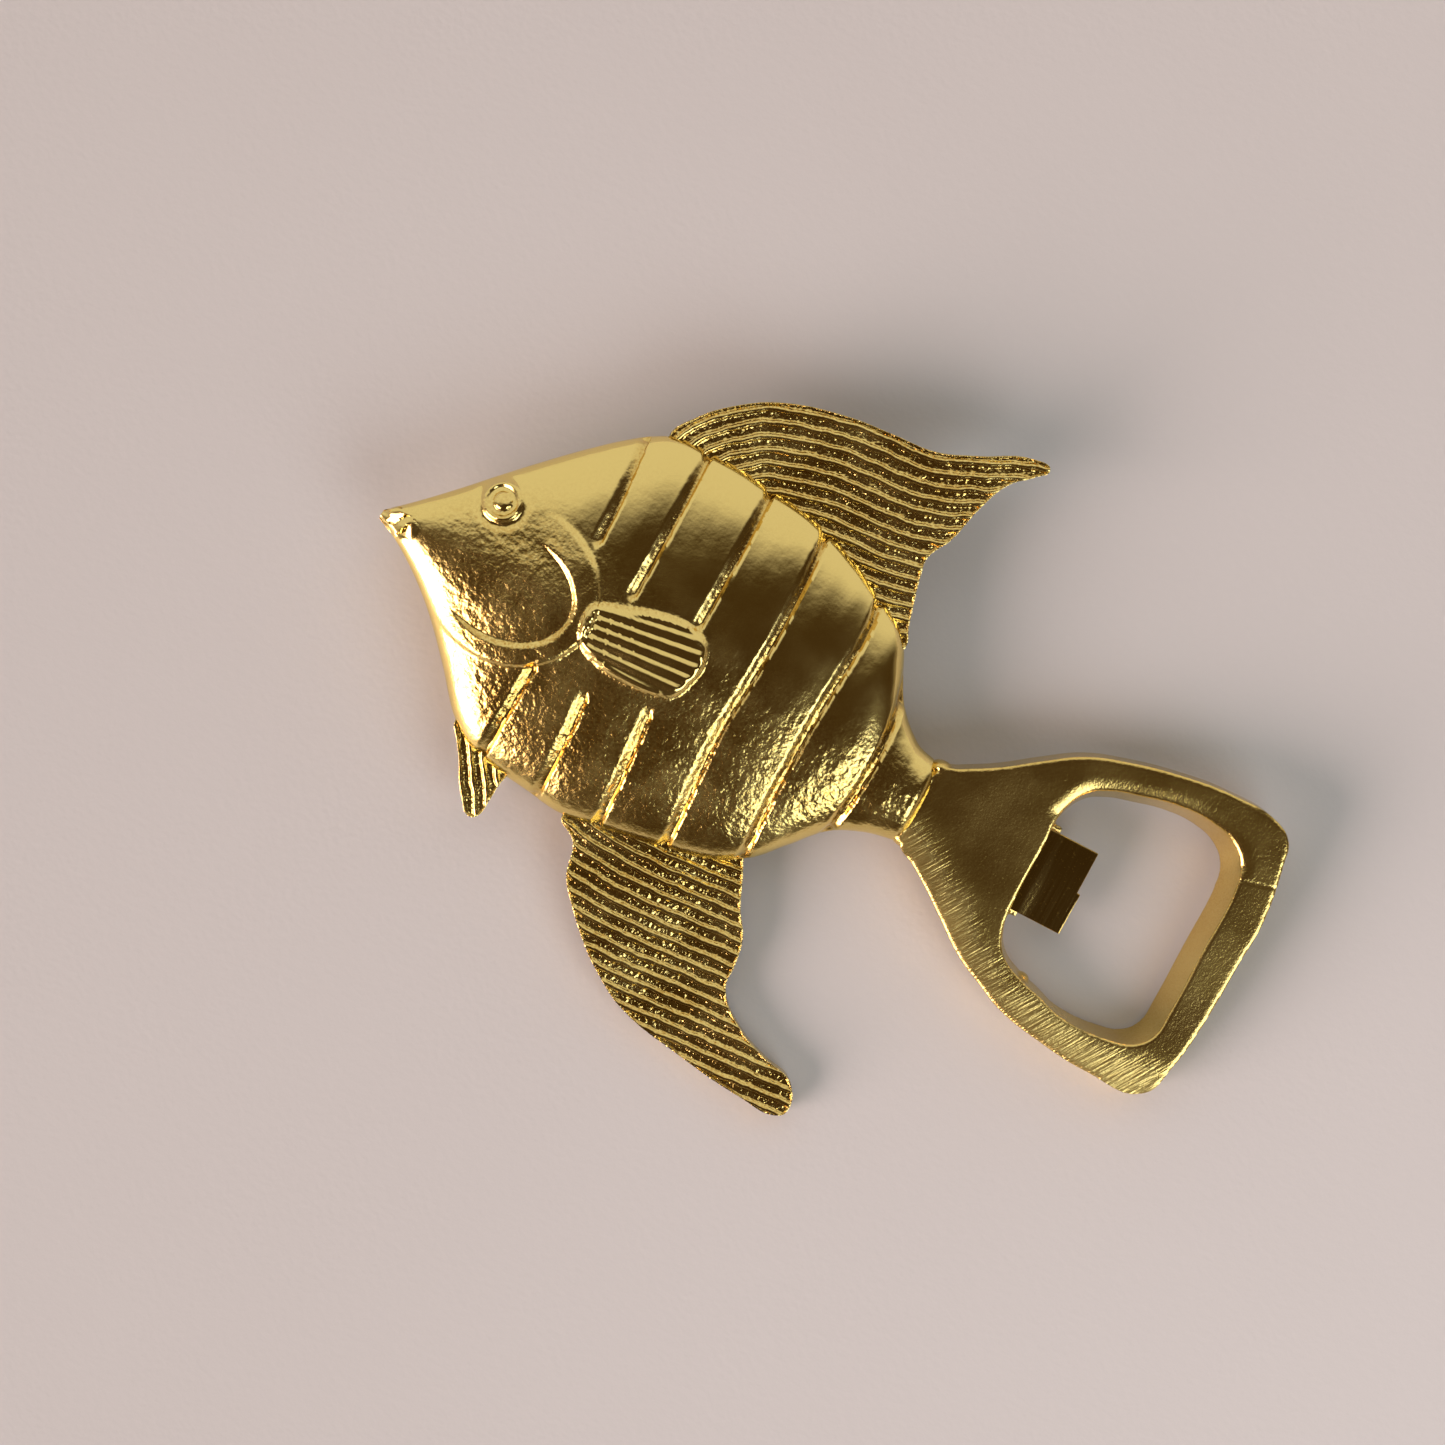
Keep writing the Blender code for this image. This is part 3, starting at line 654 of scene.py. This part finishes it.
def new_metal(name):
    material = bpy.data.materials.new(name)
    material.use_nodes = True
    tree = material.node_tree
    shader = tree.nodes["Principled BSDF"]
    shader.inputs["Metallic"].default_value = 1.0
    return material, tree, shader


def group(tree, inner, **values):
    node = add(tree, "ShaderNodeGroup", node_tree=inner)
    for name, value in values.items():
        feed(tree, node.inputs[name.replace("_", " ")], value)
    return node.outputs


def blend(tree, share, first, second):
    mix = add(tree, "ShaderNodeMix", data_type="RGBA")
    feed(tree, mix.inputs["Factor"], share)
    feed(tree, mix.inputs[6], first)
    feed(tree, mix.inputs[7], second)
    return mix.outputs[2]


def bump(tree, height, distance, under=None):
    """A bump of a height by a distance in millimetres, on top of another one if there is one under it."""
    node = add(tree, "ShaderNodeBump", named={"Strength": 1.0, "Distance": distance * MM, "Height": height})
    if under is not None:
        tree.links.new(under, node.inputs["Normal"])
    return node.outputs[0]


def attribute(tree, name):
    return add(tree, "ShaderNodeAttribute", attribute_name=name).outputs["Fac"]


BRIGHT_GOLD = (0.87, 0.69, 0.25, 1.0)
DEEP_GOLD = (0.60, 0.38, 0.09, 1.0)


def body_metal():
    """Polished over cast grain: smooth high on the back, pitted low and at the head, worn bright on edges;
    the stripe grooves are painted darker, as painted shade.
    """
    material, tree, shader = new_metal("cast_gold_body")
    place = object_place(tree)
    lumpy, groove = attribute(tree, "lumpy"), attribute(tree, "groove")
    grainy = maths(tree, "MAXIMUM", lumpy, maths(tree, "MULTIPLY", groove, 0.8))
    grain = group(tree, GRAIN, Vector=place, Grain=maths(tree, "MULTIPLY_ADD", grainy, 1.0, 0.02),
                  Grain_Size=0.42, Gloss=0.12, Dullness=0.07)
    worn = maths(tree, "MULTIPLY", maths(tree, "SUBTRACT", 1.0, grain["Tone"]), grainy)
    # The grooves are painted darker here: painted shade in the stripes, on top of their real grain.
    tone = maths(tree, "SUBTRACT", 0.9, maths(tree, "MULTIPLY_ADD", groove, 0.3, worn))
    tree.links.new(blend(tree, tone, DEEP_GOLD, BRIGHT_GOLD), shader.inputs["Base Color"])
    tree.links.new(maths(tree, "MULTIPLY_ADD", grainy, 0.07, grain["Roughness"]), shader.inputs["Roughness"])
    tree.links.new(bump(tree, grain["Height"], distance=0.075), shader.inputs["Normal"])
    return material


def fin_metal():
    """Smooth crests, pitted valleys, with the valleys painted darker as shade."""
    material, tree, shader = new_metal("cast_gold_fins")
    place = object_place(tree)
    valley = maths(tree, "SUBTRACT", 1.0, attribute(tree, "crest"))
    grain = group(tree, GRAIN, Vector=place, Grain=maths(tree, "MULTIPLY_ADD", valley, 0.8, 0.2),
                  Grain_Size=0.4, Gloss=0.12, Dullness=0.08)
    # The valleys between the ribs are painted darker: painted shade.
    tone = maths(tree, "SUBTRACT", grain["Tone"], maths(tree, "MULTIPLY", valley, 0.15))
    tree.links.new(blend(tree, tone, DEEP_GOLD, BRIGHT_GOLD), shader.inputs["Base Color"])
    tree.links.new(grain["Roughness"], shader.inputs["Roughness"])
    tree.links.new(bump(tree, grain["Height"], distance=0.1), shader.inputs["Normal"])
    return material


def tail_metal():
    """Linished flat faces: satin, with strokes across the ring, which are also painted lighter along the
    lower edge as a painted highlight.
    """
    material, tree, shader = new_metal("linished_gold")
    place = object_place(tree)
    brush = group(tree, BRUSH, Vector=place, Turn=math.radians(-58), Stroke_Width=0.36, Stroke_Length=5.0)
    grain = group(tree, GRAIN, Vector=place, Grain=1.0, Grain_Size=0.24, Gloss=0.185, Dullness=0.05)
    brushed = attribute(tree, "brushed")
    # Where brushed, the strokes lighten the colour: a painted highlight on the band along the lower edge,
    # besides the real strokes in the bump and gloss.
    streak = maths(tree, "MULTIPLY", brush["Streak"], brushed)
    tone = maths(tree, "MULTIPLY_ADD", streak, 0.35, maths(tree, "MULTIPLY_ADD", grain["Tone"], 0.4, 0.3))
    tree.links.new(blend(tree, tone, DEEP_GOLD, BRIGHT_GOLD), shader.inputs["Base Color"])
    tree.links.new(maths(tree, "MULTIPLY_ADD", brushed, 0.1, grain["Roughness"]),
                   shader.inputs["Roughness"])
    fine = bump(tree, grain["Height"], distance=0.026)
    strokes = maths(tree, "MULTIPLY", brush["Height"], brushed)
    tree.links.new(bump(tree, strokes, distance=0.14, under=fine), shader.inputs["Normal"])
    return material


def tab_metal():
    """Rolled strip: glossy, its gold painted darker as painted shade for the dark reflection it shows, with a
    few bright specks and faint rolling marks.
    """
    material, tree, shader = new_metal("rolled_gold_strip")
    place = object_place(tree)
    brush = group(tree, BRUSH, Vector=place, Turn=math.radians(90), Stroke_Width=0.2, Stroke_Length=9.0)
    specks = noise(tree, place, 2600.0, 1.0)
    speck = eased(tree, specks, 0.66, 0.74)
    # The strip's dark base colour is painted shade, standing for the dark reflection overhead; the specks are
    # plain bright gold.
    tree.links.new(blend(tree, speck, (0.5, 0.36, 0.12, 1.0), BRIGHT_GOLD), shader.inputs["Base Color"])
    tree.links.new(maths(tree, "MULTIPLY_ADD", brush["Streak"], 0.06, 0.1), shader.inputs["Roughness"])
    marks = bump(tree, brush["Height"], distance=0.006)
    tree.links.new(bump(tree, specks, distance=0.01, under=marks), shader.inputs["Normal"])
    return material


# ---------------------------------------------------------------- pieces

def set_in_frame(name, mesh, node, metal=None):
    mesh.transform(Matrix.Translation(LIPS) @ Matrix.Scale(MM, 4))
    mesh.update()
    if metal is not None:
        mesh.materials.clear()
        mesh.materials.append(metal)
    mesh.name = name
    piece = bpy.data.objects.new(name, mesh)
    bpy.context.scene.collection.objects.link(piece)
    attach(piece, "root")
    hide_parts(node)
    return piece


def ellipse_gap(x, y, centre, radii):
    """Signed distance to an ellipse, near enough for relief, and the angle round it in degrees."""
    across, up = (x - centre[0]) / radii[0], (y - centre[1]) / radii[1]
    size = np.hypot(across, up)
    local = np.hypot(x - centre[0], y - centre[1]) / np.maximum(size, 1e-6)
    return (size - 1) * local, np.degrees(np.arctan2(up, across))


def window(angle, start, end, soft):
    return ease(angle, start, start + soft) * (1 - ease(angle, end - soft, end))


def face_relief(x, y):
    """Height of the eye, cheek, gill and side fin above the plain face."""
    gap, angle = ellipse_gap(x, y, CHEEK_CENTRE, CHEEK_RADII)
    arc = window(angle, *GILL_ARC, GILL_ARC_FADE)
    bulge = CHEEK_RISE * (1 - ease(gap, -4.5, -0.3)) * ease(x, 11, 22)
    out_gap, _ = ellipse_gap(x, y, GILL_CENTRE, GILL_RADII)
    band = GILL_RISE * ease(gap, -0.3, 0.25) * (1 - ease(out_gap, -0.5, 0.35)) * arc
    from_eye = np.hypot(x - EYE[0], y - EYE[1])
    ring = EYE_RING_RISE * np.exp(-((from_eye - EYE_RING_RADIUS) / EYE_RING_WIDTH) ** 2)
    pupil = PUPIL_RISE * np.sqrt(np.clip(1 - (from_eye / PUPIL_RADIUS) ** 2, 0, 1))
    moat = -EYE_MOAT_DEPTH * np.exp(-((from_eye - EYE_RING_RADIUS - EYE_MOAT_GAP) / EYE_MOAT_WIDTH) ** 2)
    relief = bulge + band
    relief *= ease(from_eye, EYE_RING_RADIUS, EYE_RING_RADIUS + EYE_CLEARANCE)
    return relief + ring + pupil + moat + side_fin_relief(x, y)


def side_fin_relief(x, y):
    """A raised leaf behind the cheek with ribs that fan out from its root."""
    outline = smooth_line(SIDE_FIN, 6, closed=True)
    rise = np.zeros(x.shape)
    near = (x > 30) & (x < 54) & (y > -9) & (y < 10)
    px, py = x[near], y[near]
    edge = distance_to(outline, px, py, closed=True) * np.where(is_inside(outline, px, py), 1, -1)
    along = (px - SIDE_FIN[0][0]) * math.cos(SIDE_FIN_AIM) + py * math.sin(SIDE_FIN_AIM) + SIDE_FIN_FAN
    across = py * math.cos(SIDE_FIN_AIM) - (px - SIDE_FIN[0][0]) * math.sin(SIDE_FIN_AIM)
    fan = across / along * (SIDE_FIN_FAN + 14)
    ribs = np.cos(2 * math.pi * fan / SIDE_FIN_PITCH) * ease(edge, 0.3, 1.1) * ease(px, 31.0, 33.0)
    rise[near] = SIDE_FIN_RISE * ease(edge, -0.35, SIDE_FIN_RIM) + SIDE_FIN_RIBS * ribs
    return rise


def lip_facets(x, y):
    """The rough broken spot at the lips, where the gate of the casting was knocked off."""
    seeds = np.random.default_rng(7).uniform(-1, 1, (16, 2)) * LIP_SPOT_RADIUS + LIP_SPOT
    tilts = np.random.default_rng(11).uniform(-0.45, 0.45, (16, 2))
    offsets = np.stack([np.hypot(x - sx, y - sy) for sx, sy in seeds])
    nearest = offsets.argmin(axis=0)
    slope = tilts[nearest]
    lift = slope[..., 0] * (x - seeds[nearest][..., 0]) + slope[..., 1] * (y - seeds[nearest][..., 1])
    broken = LIP_SPOT_SLOPE * (0.61 * (x - LIP_SPOT[0]) + 0.77 * (y - LIP_SPOT[1]))
    return (lift + broken) * (1 - ease(np.hypot(x - LIP_SPOT[0], y - LIP_SPOT[1]), 1.6, LIP_SPOT_RADIUS))


def body_half():
    """One face of the pillow down to the parting plane, with its relief."""
    x = np.linspace(0, BODY_LENGTH, BODY_STATIONS)[:, None]
    turn = np.linspace(0, math.pi, BODY_ACROSS)[None, :]
    top = value_on(BACK_LINE, x / BODY_LENGTH) * BODY_HEIGHT
    bottom = value_on(BELLY_LINE, x / BODY_LENGTH) * BODY_HEIGHT
    depth = value_on(BODY_DEPTH, x / BODY_LENGTH) * BODY_THICKNESS / 2
    depth *= 1 - NECK_ROUNDING_DROP * np.clip((x - BODY_LENGTH + NECK_ROUNDING) / NECK_ROUNDING, 0, 1) ** 2
    y = (top + bottom) / 2 + (top - bottom) / 2 * np.cos(turn)
    x = np.broadcast_to(x, y.shape)
    lift = np.sin(turn) ** PILLOW_FULLNESS
    z = depth * lift + (face_relief(x, y) + lip_facets(x, y)) * ease(lift, 0.15, 0.6)
    z[:, 0] = z[:, -1] = 0
    rows = np.stack([x, y, np.maximum(z, 0)], axis=-1)
    first, last = BODY_ACROSS * np.arange(BODY_STATIONS), BODY_ACROSS * np.arange(1, BODY_STATIONS + 1) - 1
    flat = [[int(first[i]), int(first[i + 1]), int(last[i + 1]), int(last[i])]
            for i in range(BODY_STATIONS - 1)]
    head = list(range(BODY_ACROSS))
    neck = list(range(BODY_ACROSS * BODY_STATIONS - 1, BODY_ACROSS * (BODY_STATIONS - 1) - 1, -1))
    mesh = grid_mesh("body_half", rows, flat + [head, neck])
    spots = mesh.attributes.new("smooth_spots", "FLOAT", "POINT")
    on_leaf = is_inside(smooth_line(SIDE_FIN, 6, closed=True), x, y)
    spots.data.foreach_set("value", on_leaf.astype(np.float32).ravel())
    return clean(mesh, weld=0.0005)


def mirrored(mesh):
    copy = mesh.copy()
    copy.transform(Matrix.Diagonal((1, 1, -1, 1)))
    copy.flip_normals()
    return copy


def make_body():
    stripes = guide("stripe_lines", [smooth_line(line) for line in STRIPES])
    half = body_half()
    steps = [
        (GROOVES, {"Guides": stripes, "Depth": STRIPE_DEPTH, "Gentle Wall": GENTLE_WALL,
                   "Steep Wall": STEEP_WALL, "Crown": PANEL_CROWN, "Reach": PANEL_REACH, "Metal": BODY_GOLD}),
        (SKIN, {"Metal": BODY_GOLD}),
    ]
    for name, mesh in (("body_front", half.copy()), ("body_back", mirrored(half))):
        shaped = shaped_by(mesh, steps)
        shaped.set_sharp_from_angle(angle=math.radians(50))
        set_in_frame(name, shaped, "fish_casting")
    bpy.data.objects.remove(stripes)


def root_place(start, line):
    return start, float(value_on(line, np.array(start / BODY_LENGTH))) * BODY_HEIGHT


def make_fin(name, outline, size, place, rib_lines, rib_start, rib_pitch, bend=None):
    solid = plate(name, outline, size, FIN_THICKNESS, FIN_EDGE, place)
    solid = even_grid(solid, FIN_GRID)
    if bend is not None:
        points = points_of(solid)
        points[:, 2] += bend(points[:, 0], points[:, 1])
        move_points(solid, points)
    lines = guide(name + "_lines", rib_lines)
    shaped = shaped_by(solid, [
        (RIBS, {"Guide": lines, "Pitch": rib_pitch, "Start": rib_start, "Depth": RIB_DEPTH,
                "Metal": FIN_GOLD})])
    bpy.data.objects.remove(lines)
    set_in_frame(name, shaped, "fish_casting")


def belly_fin_bend(x, y):
    """The outer half of the belly fin dips towards its trailing edge and comes back level at the tip."""
    along = x - BELLY_FIN_START
    start, deepest, end = BELLY_FIN_DIP_SPAN
    return -BELLY_FIN_DIP * ease(along, start, deepest) * (1 - ease(along, deepest, end))


def make_fins():
    place = root_place(BACK_FIN_START, BACK_LINE)
    edge = [(place[0] + along * BACK_FIN_SIZE[0], place[1] + across * BACK_FIN_SIZE[1])
            for along, across in BACK_FIN[:BACK_FIN_EDGE_POINTS]]
    before = (edge[0][0] - 4, edge[0][1] - 6)
    after = (edge[-1][0] + 8, edge[-1][1] + 2)
    make_fin("back_fin", BACK_FIN, BACK_FIN_SIZE, place, [smooth_line([before, *edge, after])],
             BACK_RIB_START, RIB_PITCH)
    make_fin("belly_fin", BELLY_FIN, BELLY_FIN_SIZE, root_place(BELLY_FIN_START, BELLY_LINE),
             [smooth_line(BELLY_RIB_LINE)], BELLY_RIB_START, BELLY_RIB_PITCH, belly_fin_bend)
    make_fin("chin_fin", CHIN_FIN, CHIN_FIN_SIZE, root_place(CHIN_FIN_START, BELLY_LINE),
             [smooth_line(CHIN_RIB_LINE)], CHIN_RIB_START, CHIN_RIB_PITCH)


def opening_cutter():
    """The cap opening, whose walls lean in towards the back face."""
    mesh = plate("opening", OPENING, OPENING_SIZE, TAIL_THICKNESS + 2, 0, (0.0, 0.0))
    points = points_of(mesh)
    depth = (TAIL_THICKNESS / 2 - points[:, 2]) / TAIL_THICKNESS
    near, far = DRAFT_NEAR * depth, DRAFT_FAR * depth
    points[:, 0] = near + points[:, 0] * (OPENING_SIZE[0] - near - far) / OPENING_SIZE[0]
    low, high = DRAFT_BOTTOM * depth, DRAFT_TOP * depth
    share = points[:, 1] / OPENING_SIZE[1] + 0.5
    points[:, 1] = -OPENING_SIZE[1] / 2 + low + share * (OPENING_SIZE[1] - low - high)
    move_points(mesh, points)
    mesh.transform(Matrix.Translation((BODY_LENGTH + BRIDGE_LENGTH, NECK_Y + OPENING_SHIFT, 0)))
    return mesh


def tail_line(outline, size, x, y, first=0, last=None):
    points = [(x + along * size[0], y + across * size[1]) for along, across in outline[first:last]]
    return smooth_line(points, 6, closed=last is None)


def rolled_off(points, line, width, drop_height, closed=False):
    """Lower both faces towards a line, as a polishing belt does along an edge."""
    distance = distance_to(line, points[:, 0], points[:, 1], closed)
    share = np.clip(1 - distance / width, 0, 1) ** 2
    points[:, 2] *= 1 - share * drop_height / (TAIL_THICKNESS / 2)


def make_tail():
    wall = BODY_LENGTH + BRIDGE_LENGTH
    low, high = NECK_Y + TAB_Y - TAB_WIDTH / 2, NECK_Y + TAB_Y + TAB_WIDTH / 2
    slot = TAB_THICKNESS / 2 + TAB_CLEARANCE
    ring = plate("tail", TAIL, TAIL_SIZE, TAIL_THICKNESS, TAIL_EDGE, (BODY_LENGTH, NECK_Y))
    ring = cut(ring, opening_cutter())
    ledge_top = TAB_LEVEL - slot + LEDGE_LIP
    ledge = block((wall - TAB_BURIED, low - LEDGE_MARGIN, ledge_top - LEDGE_THICKNESS),
                  (wall + LEDGE_REACH, high + LEDGE_MARGIN, ledge_top))
    nub = drop(wall + NUB[0], *NUB[1:])
    neck_drops = [drop(BODY_LENGTH + x, *rest) for x, *rest in NECK_DROPS]
    solid = even_grid(joined([ring, ledge, nub, *neck_drops]), TAIL_GRID)
    solid = cut(solid, block((wall - TAB_BURIED - TAB_CLEARANCE, low - TAB_CLEARANCE, TAB_LEVEL - slot),
                             (wall + LEDGE_REACH + 1, high + TAB_CLEARANCE, TAB_LEVEL + slot)))
    points = points_of(solid)
    is_face = np.abs(points[:, 2]) > TAIL_THICKNESS / 2 - 0.05
    points[is_face, 2] = np.clip(points[is_face, 2] * 2, -TAIL_THICKNESS / 2, TAIL_THICKNESS / 2)
    outer = tail_line(TAIL, TAIL_SIZE, BODY_LENGTH, NECK_Y)
    inner = tail_line(OPENING, OPENING_SIZE, wall, NECK_Y + OPENING_SHIFT)
    lower = tail_line(TAIL, TAIL_SIZE, BODY_LENGTH, NECK_Y, 15, 25)
    upper_inner = tail_line(OPENING, OPENING_SIZE, wall, NECK_Y + OPENING_SHIFT, 1, 9)
    rolled_off(points, outer, *OUTER_ROLL_OFF, closed=True)
    rolled_off(points, inner, *INNER_ROLL_OFF, closed=True)
    rolled_off(points, lower, *LOWER_ROLL_OFF)
    rolled_off(points, upper_inner, *UPPER_INNER_ROLL_OFF)
    move_points(solid, points)
    # The band along the lower edge gets real brush strokes, and a painted highlight in the metal.
    brushed = solid.attributes.new("brushed", "FLOAT", "POINT")
    from_lower = distance_to(lower, points[:, 0], points[:, 1])
    brushed.data.foreach_set("value", 1 - ease(from_lower, *BRUSHED_REACH))
    far_wall = wall + OPENING_SIZE[0]
    hairline = guide("hairline", [[(far_wall - 0.6, 10.4), (far_wall + FAR_RIM, 12.1)]])
    solid = shaped_by(solid, [
        (GROOVES, {"Guides": hairline, "Depth": HAIRLINE_DEPTH, "Gentle Wall": 0.35, "Steep Wall": 0.3,
                   "Crown": 0.0, "Metal": TAIL_GOLD})])
    bpy.data.objects.remove(hairline)
    solid.set_sharp_from_angle(angle=math.radians(40))
    set_in_frame("tail_ring", solid, "fish_casting", TAIL_GOLD)
    lug_x, lug_y = wall - TAB_BURIED / 2, (low + high) / 2
    lug = post(LUG_RADIUS, TAB_LEVEL - slot - 0.5, TAB_LEVEL + slot + 0.5, lug_x, lug_y)
    set_in_frame("tab_lug", lug, "fish_casting", TAIL_GOLD)


def make_tab():
    """The strip: square sheared sides, a stepped end, softened edges and a slight bow."""
    wall = BODY_LENGTH + BRIDGE_LENGTH
    low, high = NECK_Y + TAB_Y - TAB_WIDTH / 2, NECK_Y + TAB_Y + TAB_WIDTH / 2
    middle = (low + high) / 2
    under, top = TAB_LEVEL - TAB_THICKNESS / 2, TAB_LEVEL + TAB_THICKNESS / 2
    end = wall + TAB_REACH
    strip = block((wall - TAB_BURIED, low, under), (end, high, top))
    strip = cut(strip, block((end - TAB_END_STEP, middle, under - 1), (end + 1, high + 1, top + 1)))
    strip = cut(strip, post(LUG_RADIUS + TAB_CLEARANCE, under - 1, top + 1, wall - TAB_BURIED / 2, middle))
    item = shaping_object("strip", strip)
    bevel = item.modifiers.new("softened_edges", "BEVEL")
    bevel.width = TAB_SOFT_EDGE
    bevel.segments = 3
    bevel.limit_method = "ANGLE"
    mesh = evaluated_mesh(item)
    work = bmesh.new()
    work.from_mesh(mesh)
    for step in range(1, TAB_CUTS):
        bmesh.ops.bisect_plane(work, geom=[*work.verts, *work.edges, *work.faces],
                               plane_co=(wall + TAB_REACH * step / TAB_CUTS, 0, 0), plane_no=(1, 0, 0))
    work.to_mesh(mesh)
    work.free()
    points = points_of(mesh)
    share = np.clip((points[:, 0] - wall) / TAB_REACH, 0, 1)
    crease = TAB_CREASE * np.exp(-((share - TAB_CREASE_AT) / TAB_CREASE_WIDTH) ** 2)
    points[:, 2] += TAB_BOW * np.sin(share * math.pi) + crease
    move_points(mesh, points)
    mesh.shade_smooth()
    mesh.set_sharp_from_angle(angle=math.radians(25))
    set_in_frame("striker_tab_strip", mesh, "striker_tab", TAB_GOLD)


# ---------------------------------------------------------------- floor, light and camera

# How the opener lies: on its belly's crown, the far end of the tail and the belly fin's tip.
FLOOR_SLOPE_X = 0.044
FLOOR_SLOPE_Y = -0.095
CAMERA_ROLL = math.radians(27.7)
CAMERA_DISTANCE = 0.475
CAMERA_LENS = 84.0
CAMERA_AIM = Vector((-0.0123, -0.0033, 0.0080))
FLOOR_REACH = 1.2
FLOOR_GAP = 0.0001

UP = Vector((-FLOOR_SLOPE_X, -FLOOR_SLOPE_Y, 1.0)).normalized()
RIGHT = Vector((math.cos(CAMERA_ROLL), math.sin(CAMERA_ROLL), 0.0))
RIGHT = (RIGHT - UP * RIGHT.dot(UP)).normalized()
AWAY = UP.cross(RIGHT)


def direction(right, away, elevation):
    """A unit vector at an elevation above the floor, towards a side of the view."""
    flat = (RIGHT * right + AWAY * away).normalized()
    angle = math.radians(elevation)
    return flat * math.cos(angle) + UP * math.sin(angle)


KEY_AIM = direction(0.63, -0.77, 38)
KEY_DISTANCE = 0.9
KEY_SIZE = 0.62
KEY_POWER = 3.2
KEY_COLOUR = (0.94, 0.99, 1.03)
ROOM = (0.30, 0.25, 0.20, 1.0)
CEILING = (0.058, 0.035, 0.014, 1.0)
FAR_SIDE = (0.80, 0.76, 0.70, 1.0)
WINDOW = (10.5, 8.2, 7.6, 1.0)


def make_floor():
    pieces = [item for item in bpy.context.scene.collection.objects
              if item.type == "MESH" and not item.hide_render]
    rest = min((vertex.co - CAMERA_AIM).dot(UP) for piece in pieces for vertex in piece.data.vertices)
    middle = CAMERA_AIM + UP * (rest - FLOOR_GAP)
    mesh = bpy.data.meshes.new("floor")
    corners = [middle + RIGHT * (FLOOR_REACH * a) + AWAY * (FLOOR_REACH * b)
               for a, b in ((-1, -1), (1, -1), (1, 1), (-1, 1))]
    mesh.from_pydata([tuple(corner) for corner in corners], [], [(0, 1, 2, 3)])
    floor = bpy.data.objects.new("floor", mesh)
    bpy.context.scene.collection.objects.link(floor)
    material = bpy.data.materials.new("pale_floor")
    material.use_nodes = True
    tree = material.node_tree
    shader = tree.nodes["Principled BSDF"]
    place = object_place(tree)
    patches = noise(tree, place, 9.0, 3.0)
    tree.links.new(blend(tree, patches, (0.565, 0.547, 0.545, 1.0), (0.597, 0.583, 0.581, 1.0)),
                   shader.inputs["Base Color"])
    shader.inputs["Roughness"].default_value = 0.55
    tree.links.new(bump(tree, noise(tree, place, 900.0, 2.0), distance=0.04), shader.inputs["Normal"])
    mesh.materials.append(material)


def make_world():
    """A dark ceiling over a pale room: bright low on the far side, a warm window low on the left."""
    world = bpy.data.worlds.new("studio")
    bpy.context.scene.world = world
    world.use_nodes = True
    tree = world.node_tree
    sky = tree.nodes["Background"]
    ray = add(tree, "ShaderNodeTexCoord").outputs["Generated"]

    def towards(aim):
        return add(tree, "ShaderNodeVectorMath", ray, aim, operation="DOT_PRODUCT").outputs["Value"]

    colour = blend(tree, eased(tree, towards(UP), 0.0, 0.3), ROOM, CEILING)
    lights = [(AWAY, 0.08, 0.40, FAR_SIDE), (direction(-0.9, -0.42, 22), 0.905, 0.96, WINDOW)]
    for aim, low, high, light in lights:
        colour = blend(tree, eased(tree, towards(aim), low, high), colour, light)
    tree.links.new(colour, sky.inputs["Color"])
    sky.inputs["Strength"].default_value = 1.0


def make_lamp(name, aim, distance, size, power, colour):
    lamp = bpy.data.lights.new(name, "AREA")
    lamp.shape = "DISK"
    lamp.size = size
    lamp.energy = power
    lamp.color = colour
    item = bpy.data.objects.new(name, lamp)
    bpy.context.scene.collection.objects.link(item)
    item.location = CAMERA_AIM + aim * distance
    item.rotation_mode = "QUATERNION"
    item.rotation_quaternion = (-aim).to_track_quat("-Z", "Y")


def make_camera():
    camera = bpy.data.cameras.new("camera")
    camera.lens = CAMERA_LENS
    camera.sensor_width = 36.0
    item = bpy.data.objects.new("camera", camera)
    bpy.context.scene.collection.objects.link(item)
    turn = Matrix((RIGHT, AWAY, UP)).transposed().to_4x4()
    item.matrix_world = Matrix.Translation(CAMERA_AIM + UP * CAMERA_DISTANCE) @ turn
    bpy.context.scene.camera = item


GROOVES = make_groove_tree()
RIBS = make_rib_tree()
SKIN = make_skin_tree()
GRAIN = make_grain_group()
BRUSH = make_brush_group()
BODY_GOLD = body_metal()
FIN_GOLD = fin_metal()
TAIL_GOLD = tail_metal()
TAB_GOLD = tab_metal()
make_body()
make_fins()
make_tail()
make_tab()
bpy.context.scene.collection.children.unlink(METAL_WORK)
bpy.data.collections.remove(METAL_WORK)
make_floor()
make_world()
make_lamp("key", KEY_AIM, KEY_DISTANCE, KEY_SIZE, KEY_POWER, KEY_COLOUR)
make_camera()
bpy.context.scene.view_settings.view_transform = "Standard"
